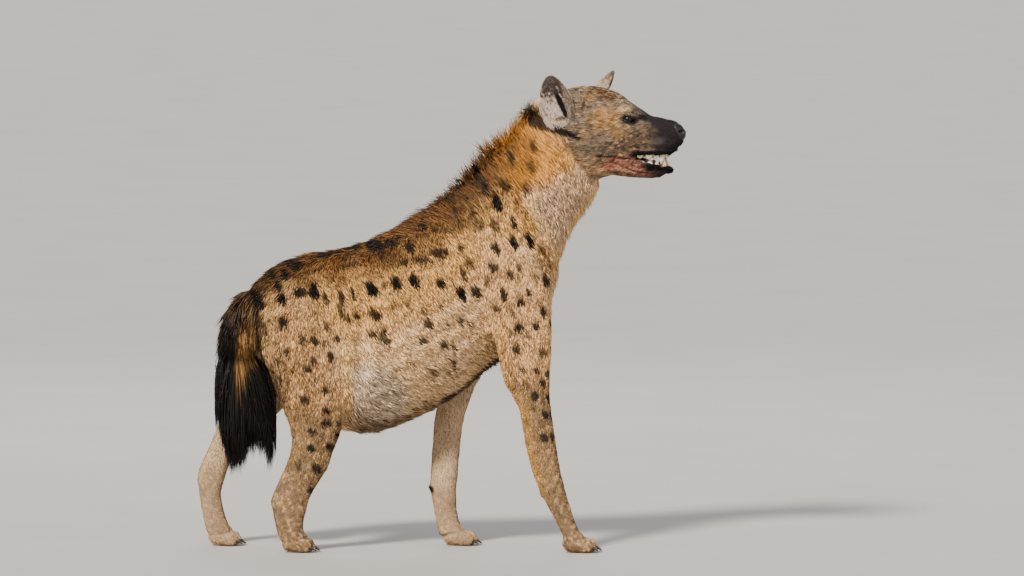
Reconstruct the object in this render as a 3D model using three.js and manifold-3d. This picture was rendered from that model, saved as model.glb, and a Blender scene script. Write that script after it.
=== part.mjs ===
// A spotted hyena standing with its head raised, life size, in millimetres.
// +Z is up, the head points to +X and the animal's right side faces -Y.
// Body stations are drawn in the animal's own side view; the whole is moved to the
// middle of its footprint at the end.
import * as THREE from 'three';
import { mergeVertices } from 'three/addons/utils/BufferGeometryUtils.js';
import Module from 'manifold-3d';

const wasm = await Module();
wasm.setup();

// Driving dimensions
const GAP = 0.3;                     // clearance between neighbouring parts
const GROUND = 0;                    // level of the soles
const HEAD_TURN = -12;               // degrees, the head looks a little to its right
const HEAD_PIVOT = [294, 0, 988];    // first neck joint, where the head turns
const EYE_RADIUS = 13;
const LID_THICKNESS = 2;
const EYE_PLACE = [452, 39, 1017];   // right and left mirror each other in y
const EYE_GAZE = [0.42, 0.9, 0.08];
const EAR_THICKNESS = 4;
const LIP_HALF = [5, 9];              // half-thickness and half-height of the lips
const TOE_SPREAD = 15.5;             // between the middles of neighbouring toes
const CLAW_LENGTH = 15;

// Vectors and curves

function vec(point) {
  return new THREE.Vector3(point[0], point[1], point[2]);
}

function mirrored(point, side) {
  return new THREE.Vector3(point[0], point[1] * side, point[2]);
}

function curveThrough(points) {
  return new THREE.CatmullRomCurve3(points, false, 'catmullrom', 0.5);
}

// The same draws on every run, from 0 up to 1
function seededRandom(seed) {
  let state = seed;
  return () => {
    state = (state * 16807) % 2147483647;
    return state / 2147483647;
  };
}

// Solids from meshes, and back

function facingOut(index, position) {
  let volume = 0;
  const a = new THREE.Vector3();
  const b = new THREE.Vector3();
  const c = new THREE.Vector3();
  for (let i = 0; i < index.count; i += 3) {
    a.fromBufferAttribute(position, index.getX(i));
    b.fromBufferAttribute(position, index.getX(i + 1));
    c.fromBufferAttribute(position, index.getX(i + 2));
    volume += a.dot(b.cross(c));
  }
  return volume > 0;
}

function solid(geometry) {
  const bare = geometry.clone();
  bare.deleteAttribute('normal');
  bare.deleteAttribute('uv');
  const merged = mergeVertices(bare, 1e-3);
  const triVerts = Uint32Array.from(merged.index.array);
  if (!facingOut(merged.index, merged.attributes.position)) {
    for (let i = 0; i < triVerts.length; i += 3) {
      [triVerts[i + 1], triVerts[i + 2]] = [triVerts[i + 2], triVerts[i + 1]];
    }
  }
  const vertProperties = Float32Array.from(merged.attributes.position.array);
  return new wasm.Manifold(new wasm.Mesh({ numProp: 3, vertProperties, triVerts }));
}

function joined(solids) {
  return solids.reduce((whole, piece) => whole.add(piece));
}

function without(body, ...cutters) {
  return cutters.reduce((rest, cutter) => rest.subtract(cutter), body);
}

// Keeps the one closed surface that holds the most, so a scrap or sealed hollow goes.
function largest(body) {
  const pieces = body.decompose();
  return pieces.reduce((best, piece) => (piece.volume() > best.volume() ? piece : best));
}

function shaped(geometry, place) {
  const matrix = new THREE.Matrix4().compose(place.at, place.turn, new THREE.Vector3(1, 1, 1));
  return solid(geometry.clone().applyMatrix4(matrix));
}

// Walks a sphere's vertices as rings from pole to pole and puts each where place() says.
function reshapedSphere(sides, rings, place) {
  const sphere = new THREE.SphereGeometry(1, sides, rings);
  const { position, uv } = sphere.attributes;
  for (let i = 0; i < position.count; i++) {
    const ring = Math.round((1 - uv.getY(i)) * rings);
    const pole = ring === 0 || ring === rings;
    const angle = pole ? 0 : uv.getX(i) * 2 * Math.PI;
    const point = place(ring, angle);
    position.setXYZ(i, point.x, point.y, point.z);
  }
  return sphere;
}

// A station is one cross-section in side view: its upper edge and lower edge as [x, z],
// its half-widths near the upper edge, in the middle and near the lower edge, how far to
// the side its middle lies, and how square it is from 0, an ellipse, to 1.
function station(upper, lower, widths, y = 0, square = 0) {
  return { upper, lower, widths, y, square };
}

// The surface through the stations, as a function of place t from the first station to the
// last, angle round the section from its upper edge, and how far out, along and shrunk.
function surfaceThrough(stations) {
  const uppers = curveThrough(stations.map((s) => vec([s.upper[0], s.y, s.upper[1]])));
  const lowers = curveThrough(stations.map((s) => vec([s.lower[0], s.y, s.lower[1]])));
  const widths = curveThrough(stations.map((s) => vec(s.widths)));
  const squares = curveThrough(stations.map((s) => vec([s.square, 0, 0])));
  const middle = (t) => uppers.getPoint(t).add(lowers.getPoint(t)).multiplyScalar(0.5);

  return function surface(t, angle, { out = 0, beyond = 0, shrink = 1 } = {}) {
    const halfHeight = uppers.getPoint(t).sub(lowers.getPoint(t)).multiplyScalar(0.5);
    const along = new THREE.Vector3(-halfHeight.z, 0, halfHeight.x).normalize();
    const step = t < 0.5 ? middle(t).sub(middle(t + 0.01)) : middle(t).sub(middle(t - 0.01));
    if (along.dot(step) < 0) along.negate();
    halfHeight.setLength(halfHeight.length() + out);
    const square = squares.getPoint(t).x;
    const softened = (v) => Math.sign(v) * THREE.MathUtils.lerp(Math.abs(v), Math.abs(v) ** 0.5, square);
    const h = (1 + Math.cos(angle)) / 2;
    const w = widths.getPoint(t);
    const wide = h * h * w.x + 2 * h * (1 - h) * w.y + (1 - h) * (1 - h) * w.z + out;
    const point = middle(t).addScaledVector(halfHeight, softened(Math.cos(angle)) * shrink);
    point.y += wide * softened(Math.sin(angle)) * shrink;
    return point.addScaledVector(along, beyond);
  };
}

function bodyForm(stations, { sides, rings, cap = 20, capEnd = cap, capRings = 3, grow = 0 }) {
  const surface = surfaceThrough(stations);
  const lengthRings = rings - 2 * capRings;

  function place(ring, angle) {
    const t = (ring - capRings) / lengthRings;
    const outside = Math.max(-t, t - 1) * lengthRings / capRings;
    if (outside <= 0) return surface(t, angle, { out: grow });
    const turn = Math.min(1, outside) * Math.PI / 2;
    const beyond = Math.sin(turn) * ((t < 0 ? cap : capEnd) + grow);
    return surface(t < 0 ? 0 : 1, angle, { out: grow, beyond, shrink: Math.cos(turn) });
  }

  return solid(reshapedSphere(sides, rings, place));
}

// A tapered piece along a curve. half(t) gives its half-width and half-thickness, and the
// thickness lies along the direction face. A blunt one has its rings nearer to its root.
function strand(points, { half, face, sides = 6, rings = 4, round = false, blunt = 1 }) {
  const curve = curveThrough(points);

  function place(ring, angle) {
    const t = round ? (1 - Math.cos(Math.PI * ring / rings)) / 2 : (ring / rings) ** blunt;
    const tangent = curve.getTangent(t);
    const across = new THREE.Vector3().crossVectors(face, tangent).normalize();
    const through = new THREE.Vector3().crossVectors(tangent, across);
    const pole = ring === 0 || ring === rings;
    const [wide, thick] = pole ? [0, 0] : half(t);
    const point = curve.getPoint(t).addScaledVector(across, wide * Math.cos(angle));
    return point.addScaledVector(through, thick * Math.sin(angle));
  }

  return solid(reshapedSphere(sides, rings, place));
}

function ball(centre, radii, { sides = 12, rings = 8, turn = new THREE.Quaternion() } = {}) {
  const geometry = new THREE.SphereGeometry(1, sides, rings).scale(radii[0], radii[1], radii[2]);
  return shaped(geometry, { at: centre, turn });
}

// Everything on the side of a plane that its normal points to.
function spaceBeyond(point, normal, clearance = 0) {
  const size = 3000;
  const box = new THREE.BoxGeometry(size, size, size).translate(0, 0, size / 2 + clearance);
  const turn = new THREE.Quaternion().setFromUnitVectors(vec([0, 0, 1]), vec(normal).normalize());
  return shaped(box, { at: vec(point), turn });
}

// The two sides of a thin cut through a body: first the side that the normal points away from.
function partedAt(body, point, normal) {
  const back = vec(normal).negate().toArray();
  const near = body.subtract(spaceBeyond(point, normal, -GAP / 2));
  const far = body.subtract(spaceBeyond(point, back, -GAP / 2));
  return [near, far];
}

// Trunk and neck, one form from the rump to the throat

const TRUNK = [
  station([-444, 616], [-414, 440], [46, 60, 52]),
  station([-400, 656], [-365, 365], [80, 104, 88]),
  station([-329, 689], [-306, 318], [96, 120, 104]),
  station([-247, 703], [-235, 287], [102, 132, 124]),
  station([-165, 724], [-169, 278], [104, 147, 142]),
  station([-94, 757], [-99, 296], [106, 152, 142]),
  station([-35, 789], [-24, 329], [104, 148, 128]),
  station([16, 816], [52, 379], [96, 140, 110]),
  station([56, 842], [134, 447], [88, 130, 96]),
  station([95, 875], [212, 482], [80, 118, 90]),
  station([127, 905], [264, 576], [72, 102, 90]),
  station([152, 925], [273, 678], [68, 92, 86]),
  station([180, 951], [306, 760], [68, 86, 80]),
  station([206, 985], [344, 814], [68, 86, 78]),
  station([232, 1015], [376, 868], [68, 86, 74]),
];
const NECK_BASE = { at: [200, 0, 788], normal: [0.907, 0, 0.421] };

function trunk(grow = 0) {
  return bodyForm(TRUNK, { sides: 26, rings: 30, cap: 26, capEnd: 30, grow });
}

// Legs, each from the hip or shoulder to just above the toes: front edge, then rear edge

const RIGHT_FORE = [
  station([112, 842], [56, 816], [8, 12, 8], -34),
  station([176, 756], [40, 706], [24, 34, 24], -74),
  station([235, 667], [89, 596], [36, 44, 36], -88),
  station([261, 584], [118, 525], [38, 47, 40], -90),
  station([264, 514], [134, 474], [36, 46, 38], -90),
  station([261, 443], [146, 412], [34, 42, 32], -88),
  station([259, 384], [162, 380], [30, 37, 26], -87),
  station([262, 337], [185, 337], [28, 33, 24], -86),
  station([269, 290], [193, 290], [27, 31, 22], -85),
  station([276, 243], [202, 243], [25, 29, 20], -85),
  station([284, 191], [214, 196], [26, 29, 21], -85, 0.2),
  station([294, 154], [231, 149], [27, 30, 24], -85, 0.3),
  station([307, 107], [256, 102], [25, 27, 22], -85, 0.2),
  station([322, 60], [283, 52], [26, 27, 23], -85, 0.2),
  station([340, 38], [290, 26], [28, 31, 27], -85, 0.2),
];
const LEFT_FORE = [
  station([100, 838], [44, 812], [8, 12, 8], 34),
  station([158, 750], [22, 690], [24, 34, 24], 74),
  station([196, 668], [24, 582], [36, 44, 36], 88),
  station([182, 588], [14, 510], [38, 47, 40], 90),
  station([162, 512], [0, 450], [36, 45, 38], 90),
  station([127, 446], [-14, 404], [34, 41, 32], 88),
  station([92, 394], [-16, 366], [30, 37, 26], 87),
  station([72, 346], [-9, 330], [28, 33, 24], 86),
  station([56, 298], [-16, 298], [27, 30, 22], 85),
  station([50, 251], [-19, 251], [25, 27, 20], 85),
  station([45, 204], [-22, 204], [25, 27, 21], 85, 0.2),
  station([42, 160], [-25, 155], [27, 29, 24], 85, 0.3),
  station([38, 110], [-20, 106], [25, 26, 22], 85, 0.2),
  station([42, 62], [-10, 52], [26, 27, 23], 85, 0.2),
  station([58, 40], [-4, 26], [28, 31, 27], 85, 0.2),
];
const RIGHT_HIND = [
  station([-306, 664], [-370, 650], [14, 18, 14], -34),
  station([-262, 615], [-424, 575], [36, 46, 36], -64),
  station([-232, 560], [-430, 520], [48, 56, 44], -74),
  station([-214, 502], [-419, 470], [52, 61, 48], -79),
  station([-207, 431], [-400, 420], [50, 62, 46], -84),
  station([-214, 361], [-374, 350], [44, 54, 38], -86),
  station([-228, 290], [-352, 290], [36, 44, 30], -85),
  station([-247, 243], [-350, 243], [30, 37, 24], -83),
  station([-262, 196], [-366, 196], [27, 32, 20], -81),
  station([-286, 161], [-384, 156], [27, 30, 20], -80, 0.2),
  station([-306, 125], [-398, 122], [26, 28, 20], -80, 0.3),
  station([-313, 95], [-392, 92], [25, 27, 20], -80, 0.3),
  station([-322, 56], [-384, 50], [27, 28, 23], -80, 0.2),
  station([-308, 38], [-374, 26], [27, 30, 26], -80, 0.2),
];
const LEFT_HIND = [
  station([-306, 664], [-370, 650], [14, 18, 14], 34),
  station([-268, 605], [-432, 580], [36, 46, 36], 64),
  station([-262, 540], [-458, 522], [48, 56, 44], 74),
  station([-280, 470], [-474, 468], [52, 61, 48], 79),
  station([-302, 412], [-478, 430], [50, 60, 44], 84),
  station([-340, 358], [-484, 388], [44, 54, 38], 86),
  station([-412, 284], [-500, 336], [36, 44, 30], 85),
  station([-480, 224], [-530, 276], [30, 36, 24], 83),
  station([-497, 194], [-552, 224], [27, 32, 20], 81),
  station([-505, 172], [-568, 192], [27, 30, 20], 80, 0.2),
  station([-513, 148], [-576, 160], [26, 28, 20], 80, 0.3),
  station([-519, 122], [-571, 126], [25, 27, 20], 80, 0.3),
  station([-514, 92], [-566, 88], [24, 26, 20], 80, 0.2),
  station([-504, 56], [-558, 48], [27, 28, 23], 80, 0.2),
  station([-490, 38], [-550, 26], [27, 30, 26], 80, 0.2),
];
const LEGS = [
  {
    names: ['upper_arm_right', 'forearm_right', 'forepaw_right'],
    stations: RIGHT_FORE,
    joints: [
      { at: [200, 0, 404], normal: [0.12, 0, -1] },
      { at: [262, 0, 140], normal: [0.25, 0, -1] },
    ],
    paw: { at: [326, -85], length: 80, width: 74 },
    wristPad: [238, -85, 138],
  },
  {
    names: ['upper_arm_left', 'forearm_left', 'forepaw_left'],
    stations: LEFT_FORE,
    joints: [
      { at: [34, 0, 384], normal: [-0.2, 0, -1] },
      { at: [10, 0, 140], normal: [-0.02, 0, -1] },
    ],
    paw: { at: [44, 85], length: 80, width: 74 },
    wristPad: [-24, 85, 138],
  },
  {
    names: ['thigh_right', 'shank_right', 'hindpaw_right'],
    stations: RIGHT_HIND,
    joints: [
      { at: [-298, 0, 338], normal: [-0.06, 0, -1] },
      { at: [-330, 0, 165], normal: [-0.4, 0, -1] },
    ],
    paw: { at: [-334, -80], length: 76, width: 68 },
  },
  {
    names: ['thigh_left', 'shank_left', 'hindpaw_left'],
    stations: LEFT_HIND,
    joints: [
      { at: [-410, 0, 366], normal: [-0.62, 0, -0.78] },
      { at: [-534, 0, 186], normal: [-0.5, 0, -0.86] },
    ],
    paw: { at: [-512, 80], length: 76, width: 68 },
  },
];

function claw(from, reach) {
  const tip = from.clone().add(vec([reach, 0, -6]));
  const middle = from.clone().add(vec([reach * 0.6, 0, 0]));
  const half = (t) => [4.6 * (1 - t) + 0.8, 5.6 * (1 - t) + 0.8];
  return strand([from, middle, tip], { half, face: vec([0, 0, 1]), sides: 4, rings: 2 });
}

// A paw: the sole, four toes side by side with the outer ones set back, and blunt claws
function paw({ at: [x, y], length, width }) {
  const pieces = [ball(vec([x - 6, y, 20]), [length * 0.44, width * 0.42, 24], { sides: 10, rings: 5 })];
  for (const place of [-1.5, -0.5, 0.5, 1.5]) {
    const back = 5 * Math.abs(place) ** 1.5;
    const toe = vec([x + length * 0.3 - back, y + place * TOE_SPREAD * width / 74, 15.5]);
    pieces.push(ball(toe, [length * 0.3, 10.5, 17], { sides: 6, rings: 4 }));
    pieces.push(claw(toe.clone().add(vec([length * 0.22, 0, -4])), CLAW_LENGTH));
  }
  return joined(pieces);
}

function legForm({ stations, paw: pawSizes, wristPad }, grow = 0) {
  let form = bodyForm(stations, { sides: 12, rings: 22, cap: 12, capEnd: 10, capRings: 2, grow });
  if (wristPad) form = form.add(ball(vec(wristPad), [9, 11, 10], { sides: 8, rings: 5 }));
  if (grow > 0) return form;
  form = form.add(paw(pawSizes));
  return form.subtract(spaceBeyond([0, 0, GROUND], [0, 0, -1]));
}

// Head, built looking straight ahead along +X and turned about the pivot afterwards

const HEAD = [
  station([256, 1046], [282, 932], [52, 66, 60]),
  station([290, 1080], [319, 888], [58, 84, 76]),
  station([331, 1090], [356, 868], [54, 91, 80]),
  station([367, 1091], [392, 880], [50, 93, 78], 0, 0.1),
  station([402, 1084], [421, 902], [47, 84, 68], 0, 0.2),
  station([427, 1073], [443, 925], [45, 73, 58], 0, 0.3),
  station([450, 1055], [462, 931], [38, 62, 50], 0, 0.4),
  station([475, 1039], [482, 932], [31, 49, 44], 0, 0.45),
  station([498, 1024], [501, 930], [27, 42, 41], 0, 0.45),
  station([523, 1014], [523, 927], [26, 39, 39], 0, 0.4),
  station([547, 1007], [541, 932], [25, 37, 36], 0, 0.35),
  station([564, 1001], [556, 940], [22, 32, 30], 0, 0.25),
  station([573, 992], [567, 954], [17, 24, 22], 0, 0.1),
];
const JAW = [
  station([390, 925], [382, 876], [50, 60, 44]),
  station([425, 925], [412, 884], [50, 56, 42], 0, 0.1),
  station([452, 921], [440, 880], [43, 48, 38], 0, 0.3),
  station([475, 913], [468, 879], [38, 40, 33], 0, 0.4),
  station([500, 908], [498, 878], [35, 36, 29], 0, 0.4),
  station([523, 906], [520, 880], [31, 32, 25], 0, 0.3),
  station([540, 907], [537, 889], [24, 25, 17], 0, 0.2),
];
const MOUTH_HOLLOW = [
  station([436, 936], [432, 912], [24, 26, 22], 0, 0.3),
  station([465, 946], [462, 905], [30, 32, 26], 0, 0.4),
  station([500, 946], [499, 894], [26, 27, 22], 0, 0.4),
  station([535, 944], [530, 893], [19, 20, 14], 0, 0.2),
];

function mouthSpace(grow = 0) {
  return bodyForm(MOUTH_HOLLOW, { sides: 8, rings: 7, cap: 8, capRings: 1, grow });
}

function headForm(grow = 0) {
  return bodyForm(HEAD, { sides: 24, rings: 26, cap: 18, capEnd: 8, grow });
}

// Brow ridge over the eye, and the thickened edges of the lips
function brow(side) {
  return ball(mirrored([436, 33, 1035], side), [30, 13, 9], { sides: 8, rings: 5 });
}

function lip(points) {
  const right = points.map((p) => mirrored(p, -1));
  const left = points.slice(0, -1).reverse().map((p) => mirrored(p, 1));
  const half = (t) => LIP_HALF.map((size) => size * Math.sin(Math.PI * t) ** 0.3);
  return strand([...right, ...left], { half, face: vec([0, 0, 1]), sides: 5, rings: 12 });
}

const UPPER_LIP = [
  [422, 47, 926], [446, 44, 935], [472, 40, 941], [500, 36, 941],
  [530, 32, 941], [551, 22, 946], [560, 0, 951],
];
const LOWER_LIP = [
  [422, 48, 920], [446, 44, 911], [472, 38, 902], [495, 33, 898],
  [517, 29, 897], [536, 19, 898], [544, 0, 899],
];

function headTurned(body) {
  const turn = new THREE.Matrix4().makeRotationZ(THREE.MathUtils.degToRad(HEAD_TURN));
  const there = new THREE.Matrix4().makeTranslation(...HEAD_PIVOT);
  const back = there.clone().invert();
  return body.transform(there.multiply(turn).multiply(back).elements);
}

// The arch on which teeth stand, from the right cheek round the front to the left
function dentalArch(half, front, z) {
  const right = half.map(([x, y]) => vec([x, -y, z]));
  const left = half.map(([x, y]) => vec([x, y, z])).reverse();
  return curveThrough([...right, vec([front, 0, z]), ...left]);
}

// Place along the half arch, crown length, half-length along the arch, half-thickness:
// three premolars, the canine and three incisors
const UPPER_CROWNS = [
  [0.045, 20, 12, 6],
  [0.13, 24, 9.5, 7],
  [0.21, 20, 8, 6],
  [0.305, 35, 7, 6.5],
  [0.385, 19, 5.2, 4.4],
  [0.432, 16, 4.2, 3.8],
  [0.477, 15, 4, 3.6],
];
const LOWER_CROWNS = [
  [0.02, 17, 10, 5],
  [0.1, 19, 9, 5.5],
  [0.18, 20, 8, 6],
  [0.255, 15, 6, 5],
  [0.37, 28, 6.5, 6],
  [0.43, 12, 3.6, 3.2],
  [0.475, 11, 3.4, 3.2],
];
const UPPER_ARCH = dentalArch([[468, 33], [500, 30], [525, 26], [541, 17]], 547, 941);
const LOWER_ARCH = dentalArch([[458, 27], [490, 25], [517, 21], [535, 13]], 541, 903);

function teeth(crowns, arch, down, grow = 0) {
  return crowns.flatMap(([place, length, along, across]) => [place, 1 - place].map((t) => {
    const root = arch.getPoint(t).add(vec([0, 0, -down * 5]));
    const tip = arch.getPoint(t).add(vec([0, 0, down * (length + grow)]));
    const middle = root.clone().lerp(tip, 0.55);
    const half = (s) => [across, along].map((size) => size * (1 - 0.8 * s ** 2) + grow);
    return strand([root, middle, tip], { half, face: arch.getTangent(t), sides: 4, rings: 3 });
  }));
}

function gazeTurn(side) {
  return new THREE.Quaternion().setFromUnitVectors(vec([0, 0, 1]), mirrored(EYE_GAZE, side).normalize());
}

function eyeBall(side, grow = 0) {
  const r = EYE_RADIUS + grow;
  return ball(mirrored(EYE_PLACE, side), [r, r, r], { sides: 12, rings: 7, turn: gazeTurn(side) });
}

function lids(side) {
  const r = EYE_RADIUS + LID_THICKNESS;
  return ball(mirrored(EYE_PLACE, side), [r, r, r], { sides: 10, rings: 6, turn: gazeTurn(side) });
}

// The almond between the lids, as a long round cutter across the eye's front
function lidOpening(side) {
  const gaze = mirrored(EYE_GAZE, side).normalize();
  const centre = mirrored(EYE_PLACE, side).addScaledVector(gaze, EYE_RADIUS + 1);
  const forward = vec([1, 0, -0.1]);
  const across = forward.addScaledVector(gaze, -forward.dot(gaze)).normalize();
  const ends = [-15, 0, 15].map((d) => centre.clone().addScaledVector(across, d));
  const half = (t) => [8 * Math.sin(Math.PI * t) ** 0.8, 7 * Math.sin(Math.PI * t) ** 0.8];
  return strand(ends, { half, face: gaze, sides: 8, rings: 8 });
}

const NOSE = [
  station([556, 1001], [560, 968], [12, 18, 11], 0, 0.3),
  station([568, 1005], [569, 966], [13, 20, 12], 0, 0.4),
  station([578, 1002], [577, 967], [12, 19, 12], 0, 0.4),
  station([585, 992], [583, 974], [8, 14, 9], 0, 0.3),
];

function nosePad(grow = 0) {
  return bodyForm(NOSE, { sides: 12, rings: 8, cap: 6, capEnd: 3, capRings: 2, grow });
}

function nostril(side) {
  const way = [[592, 8, 987], [581, 9, 988], [574, 16, 985], [570, 23, 979]];
  const points = way.map((point) => mirrored(point, side));
  return strand(points, { half: () => [3.4, 4.8], face: vec([0, 0, 1]), sides: 5, rings: 4 });
}

// An ear: a leaf from base to tip with its cup scooped out of the side it faces
function ear({ base, bend, tip, facing, half, depth }) {
  const points = [base, bend, tip].map(vec);
  const face = vec(facing).normalize();
  const outline = (t) => half * Math.sin(Math.PI * Math.min(1, 0.16 + 0.84 * t)) ** 0.55;
  const bulge = (t) => depth * Math.sin(Math.PI * Math.min(1, 0.28 + 0.72 * t)) ** 0.6;
  const outer = (t) => [outline(t), bulge(t)];
  const leaf = strand(points, { half: outer, face, sides: 12, rings: 9, round: true });
  const inner = points.map((p) => p.clone().addScaledVector(face, depth * 0.85));
  inner[0].lerp(inner[1], 0.28);
  const less = (size) => Math.max(size - EAR_THICKNESS, 0.5);
  const hollow = (t) => [less(outline(t)), less(bulge(t)) * 1.15];
  const cup = strand(inner, { half: hollow, face, sides: 10, rings: 8, round: true });
  return leaf.subtract(cup);
}

const EARS = {
  ear_right: {
    base: [296, -52, 985], bend: [288, -74, 1055], tip: [274, -86, 1119],
    facing: [-0.1, -0.95, 0.25], half: 41, depth: 17,
  },
  ear_left: {
    base: [328, 52, 1000], bend: [355, 72, 1062], tip: [394, 82, 1124],
    facing: [0.72, 0.55, -0.4], half: 31, depth: 16,
  },
};

// Mane: a mat on the nape and upper back, and locks that rise from it and lean to the rear.
// Places along the nape are counted in trunk stations from the rump, angles in radians.

const MANE_FROM = 14;
const MANE_TO = 3.6;
const NAPE_END = 8;                  // behind this station the mane sinks into the back
const NAPE_DEPTH = 230;              // of the neck where the mane covers it the most
const MANE_CORE = [14, 7];           // thickness of the mat on top and on the sides
const MANE_EDGE = 1.3;               // how far round the neck the mat reaches
const CREST_LOCKS = 12;              // upright locks along the middle of the neck
const CREST_LIFT = 34;
const CREST_HALF = [20, 6];
const SIDE_ROWS = 9;                // rows of flatter locks on both sides of the crest
const SIDE_ANGLES = [[0.42, 1.08], [0.74, 1.3]];
const SIDE_LIFT = [36, 17];
const SIDE_HALF = [23, 6];

const trunkSurface = surfaceThrough(TRUNK);

function onTrunk(place, angle, out) {
  return trunkSurface(Math.max(0, place) / (TRUNK.length - 1), angle, { out });
}

// Share of the full height: whole along the nape, little on the back
function hairShare(place) {
  return THREE.MathUtils.lerp(0.16, 1, THREE.MathUtils.smoothstep(place, MANE_TO, NAPE_END));
}

// Angles narrow towards the back, where the body is deep and the mane a mere stripe.
function gathered(place) {
  const depth = onTrunk(place, 0, 0).distanceTo(onTrunk(place, Math.PI, 0));
  return Math.min(1, NAPE_DEPTH / depth) * (0.5 + 0.5 * hairShare(place));
}

// The mat from which the locks grow: the trunk's own surface, grown on the upper side and
// sunk inside the trunk below
function maneCore() {
  const rings = 10;
  const [top, side] = MANE_CORE;

  function place(ring, angle) {
    const t = THREE.MathUtils.clamp((ring - 1) / (rings - 2), 0, 1);
    const there = THREE.MathUtils.lerp(MANE_FROM, MANE_TO, t);
    if (ring === 0 || ring === rings) return onTrunk(there, 0, -60);
    const turn = Math.min(angle, 2 * Math.PI - angle);
    const edge = MANE_EDGE * gathered(there);
    const covered = 1 - THREE.MathUtils.smoothstep(turn, edge - 0.1, edge + 0.25);
    const thick = THREE.MathUtils.lerp(top, side, THREE.MathUtils.smoothstep(turn, 0, 0.7));
    return onTrunk(there, angle, THREE.MathUtils.lerp(-20, thick * hairShare(there), covered));
  }

  return solid(reshapedSphere(18, rings, place));
}

// A lock rises from the skin along the hair's slant, bends back over and ends in a tip.
// back and turn say how far it runs to the rear, in stations, and round the neck.
function maneLock({ place, angle, lift, back, turn, half, face }) {
  const points = [[0, 0], [0.3, 0.62], [0.66, 0.95], [1, 1]].map(([far, up]) => (
    onTrunk(place - back * far, angle + turn * far, lift * up - 3)));
  return strand(points, {
    half: (t) => [half[0] * (1 - t ** 2), half[1] * (1 - t ** 1.5)],
    face,
    sides: 4,
    rings: 3,
    blunt: 1.4,
  });
}

function crestLock(place, random) {
  const share = hairShare(place);
  return maneLock({
    place,
    angle: 0.3 * (random() - 0.5),
    lift: CREST_LIFT * share * (0.85 + 0.3 * random()),
    back: (place > 13 ? 1.2 : 2.1) * (0.85 + 0.3 * random()),
    turn: 0.3 * (random() - 0.5),
    half: CREST_HALF.map((size) => size * (0.5 + 0.5 * share)),
    face: vec([0, 1, 0]),
  });
}

function sideLock(place, angle, random) {
  const share = hairShare(place);
  const side = Math.min(1, Math.abs(angle));
  return maneLock({
    place,
    angle,
    lift: THREE.MathUtils.lerp(...SIDE_LIFT, side) * share * (0.85 + 0.3 * random()),
    back: (2.7 - 1.1 * side) * (0.85 + 0.3 * random()),
    turn: (Math.sign(angle) * 0.6 * side + 0.24 * (random() - 0.5)) * gathered(place),
    half: SIDE_HALF.map((size) => size * (0.5 + 0.5 * share)),
    face: onTrunk(place, angle, 20).sub(onTrunk(place, angle, 0)).normalize(),
  });
}

function maneForm() {
  const random = seededRandom(7);
  const pieces = [maneCore()];
  for (let i = 0; i < CREST_LOCKS; i++) {
    const place = THREE.MathUtils.lerp(MANE_FROM, MANE_TO + 1.4, i / (CREST_LOCKS - 1));
    pieces.push(crestLock(place, random));
  }
  for (let row = 0; row < SIDE_ROWS; row++) {
    const place = THREE.MathUtils.lerp(MANE_FROM, MANE_TO + 2.2, row / (SIDE_ROWS - 1));
    for (const wide of SIDE_ANGLES[row % 2]) {
      const angle = wide * gathered(place);
      pieces.push(sideLock(place, angle, random), sideLock(place, -angle, random));
    }
  }
  return joined(pieces);
}

// Tail: the upper part with short hair, then the long brush that hangs from it.
// The brush's middle line and its half-sizes are given at heights above the ground.

const TAIL_ROOT = [
  station([-425, 620], [-425, 560], [22, 28, 24]),
  station([-462, 612], [-448, 556], [24, 30, 26]),
  station([-492, 578], [-452, 540], [26, 32, 28], -4),
  station([-510, 530], [-440, 508], [30, 38, 32], -8),
  station([-518, 480], [-428, 470], [32, 38, 34], -12),
];
const BRUSH_CORE = [
  station([-516, 479], [-430, 469], [30, 36, 32], -12),
  station([-496, 430], [-430, 426], [24, 30, 24], -14),
  station([-488, 370], [-430, 366], [20, 26, 20], -16),
  station([-482, 320], [-434, 316], [14, 20, 14], -16),
];
const BRUSH_TOP = { at: [-473, 0, 474], normal: [0.11, 0, -1] };
const BRUSH_ROWS = [478, 425, 370];   // heights of the locks' roots, row by row
const BRUSH_LOCKS = 6;
const BRUSH_LOCK_HALF = [26, 8];
const BRUSH_MIDDLE = [-457, -15];
const BRUSH_TIPS = 196;              // lowest tips, at the front and the back of the brush
const BRUSH_NOTCH = 58;              // how much higher the tips between them end

// Half-depth of the whole brush at a height: fullest in its lower half
function brushReach(z) {
  const slim = THREE.MathUtils.smoothstep(z, 320, 480);
  const full = THREE.MathUtils.smoothstep(z, BRUSH_TIPS - 30, 290);
  return (72 - 24 * slim) * (0.6 + 0.4 * full);
}

function brushLock(top, turn, random) {
  const [x, y] = BRUSH_MIDDLE;
  const dirX = Math.cos(turn);
  const dirY = Math.sin(turn);
  const lowest = BRUSH_TIPS + BRUSH_NOTCH * (1 - Math.abs(dirX)) + 12 * random();
  const end = Math.max(lowest, top - 185 - 25 * random());
  const level = (share, spread) => {
    const z = THREE.MathUtils.lerp(top, end, share);
    const reach = brushReach(z) * spread;
    return vec([x + dirX * reach, y + dirY * reach * 0.7, z]);
  };
  const points = [level(0, 0.6), level(0.25, 0.9), level(0.6, 0.96), level(1, 1)];
  const [wide, thick] = BRUSH_LOCK_HALF;
  const half = (t) => [wide * (1 - t ** 2), thick * (1 - t ** 1.4)];
  return strand(points, { half, face: vec([dirX, dirY, 0]), sides: 4, rings: 3, blunt: 1.4 });
}

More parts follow.
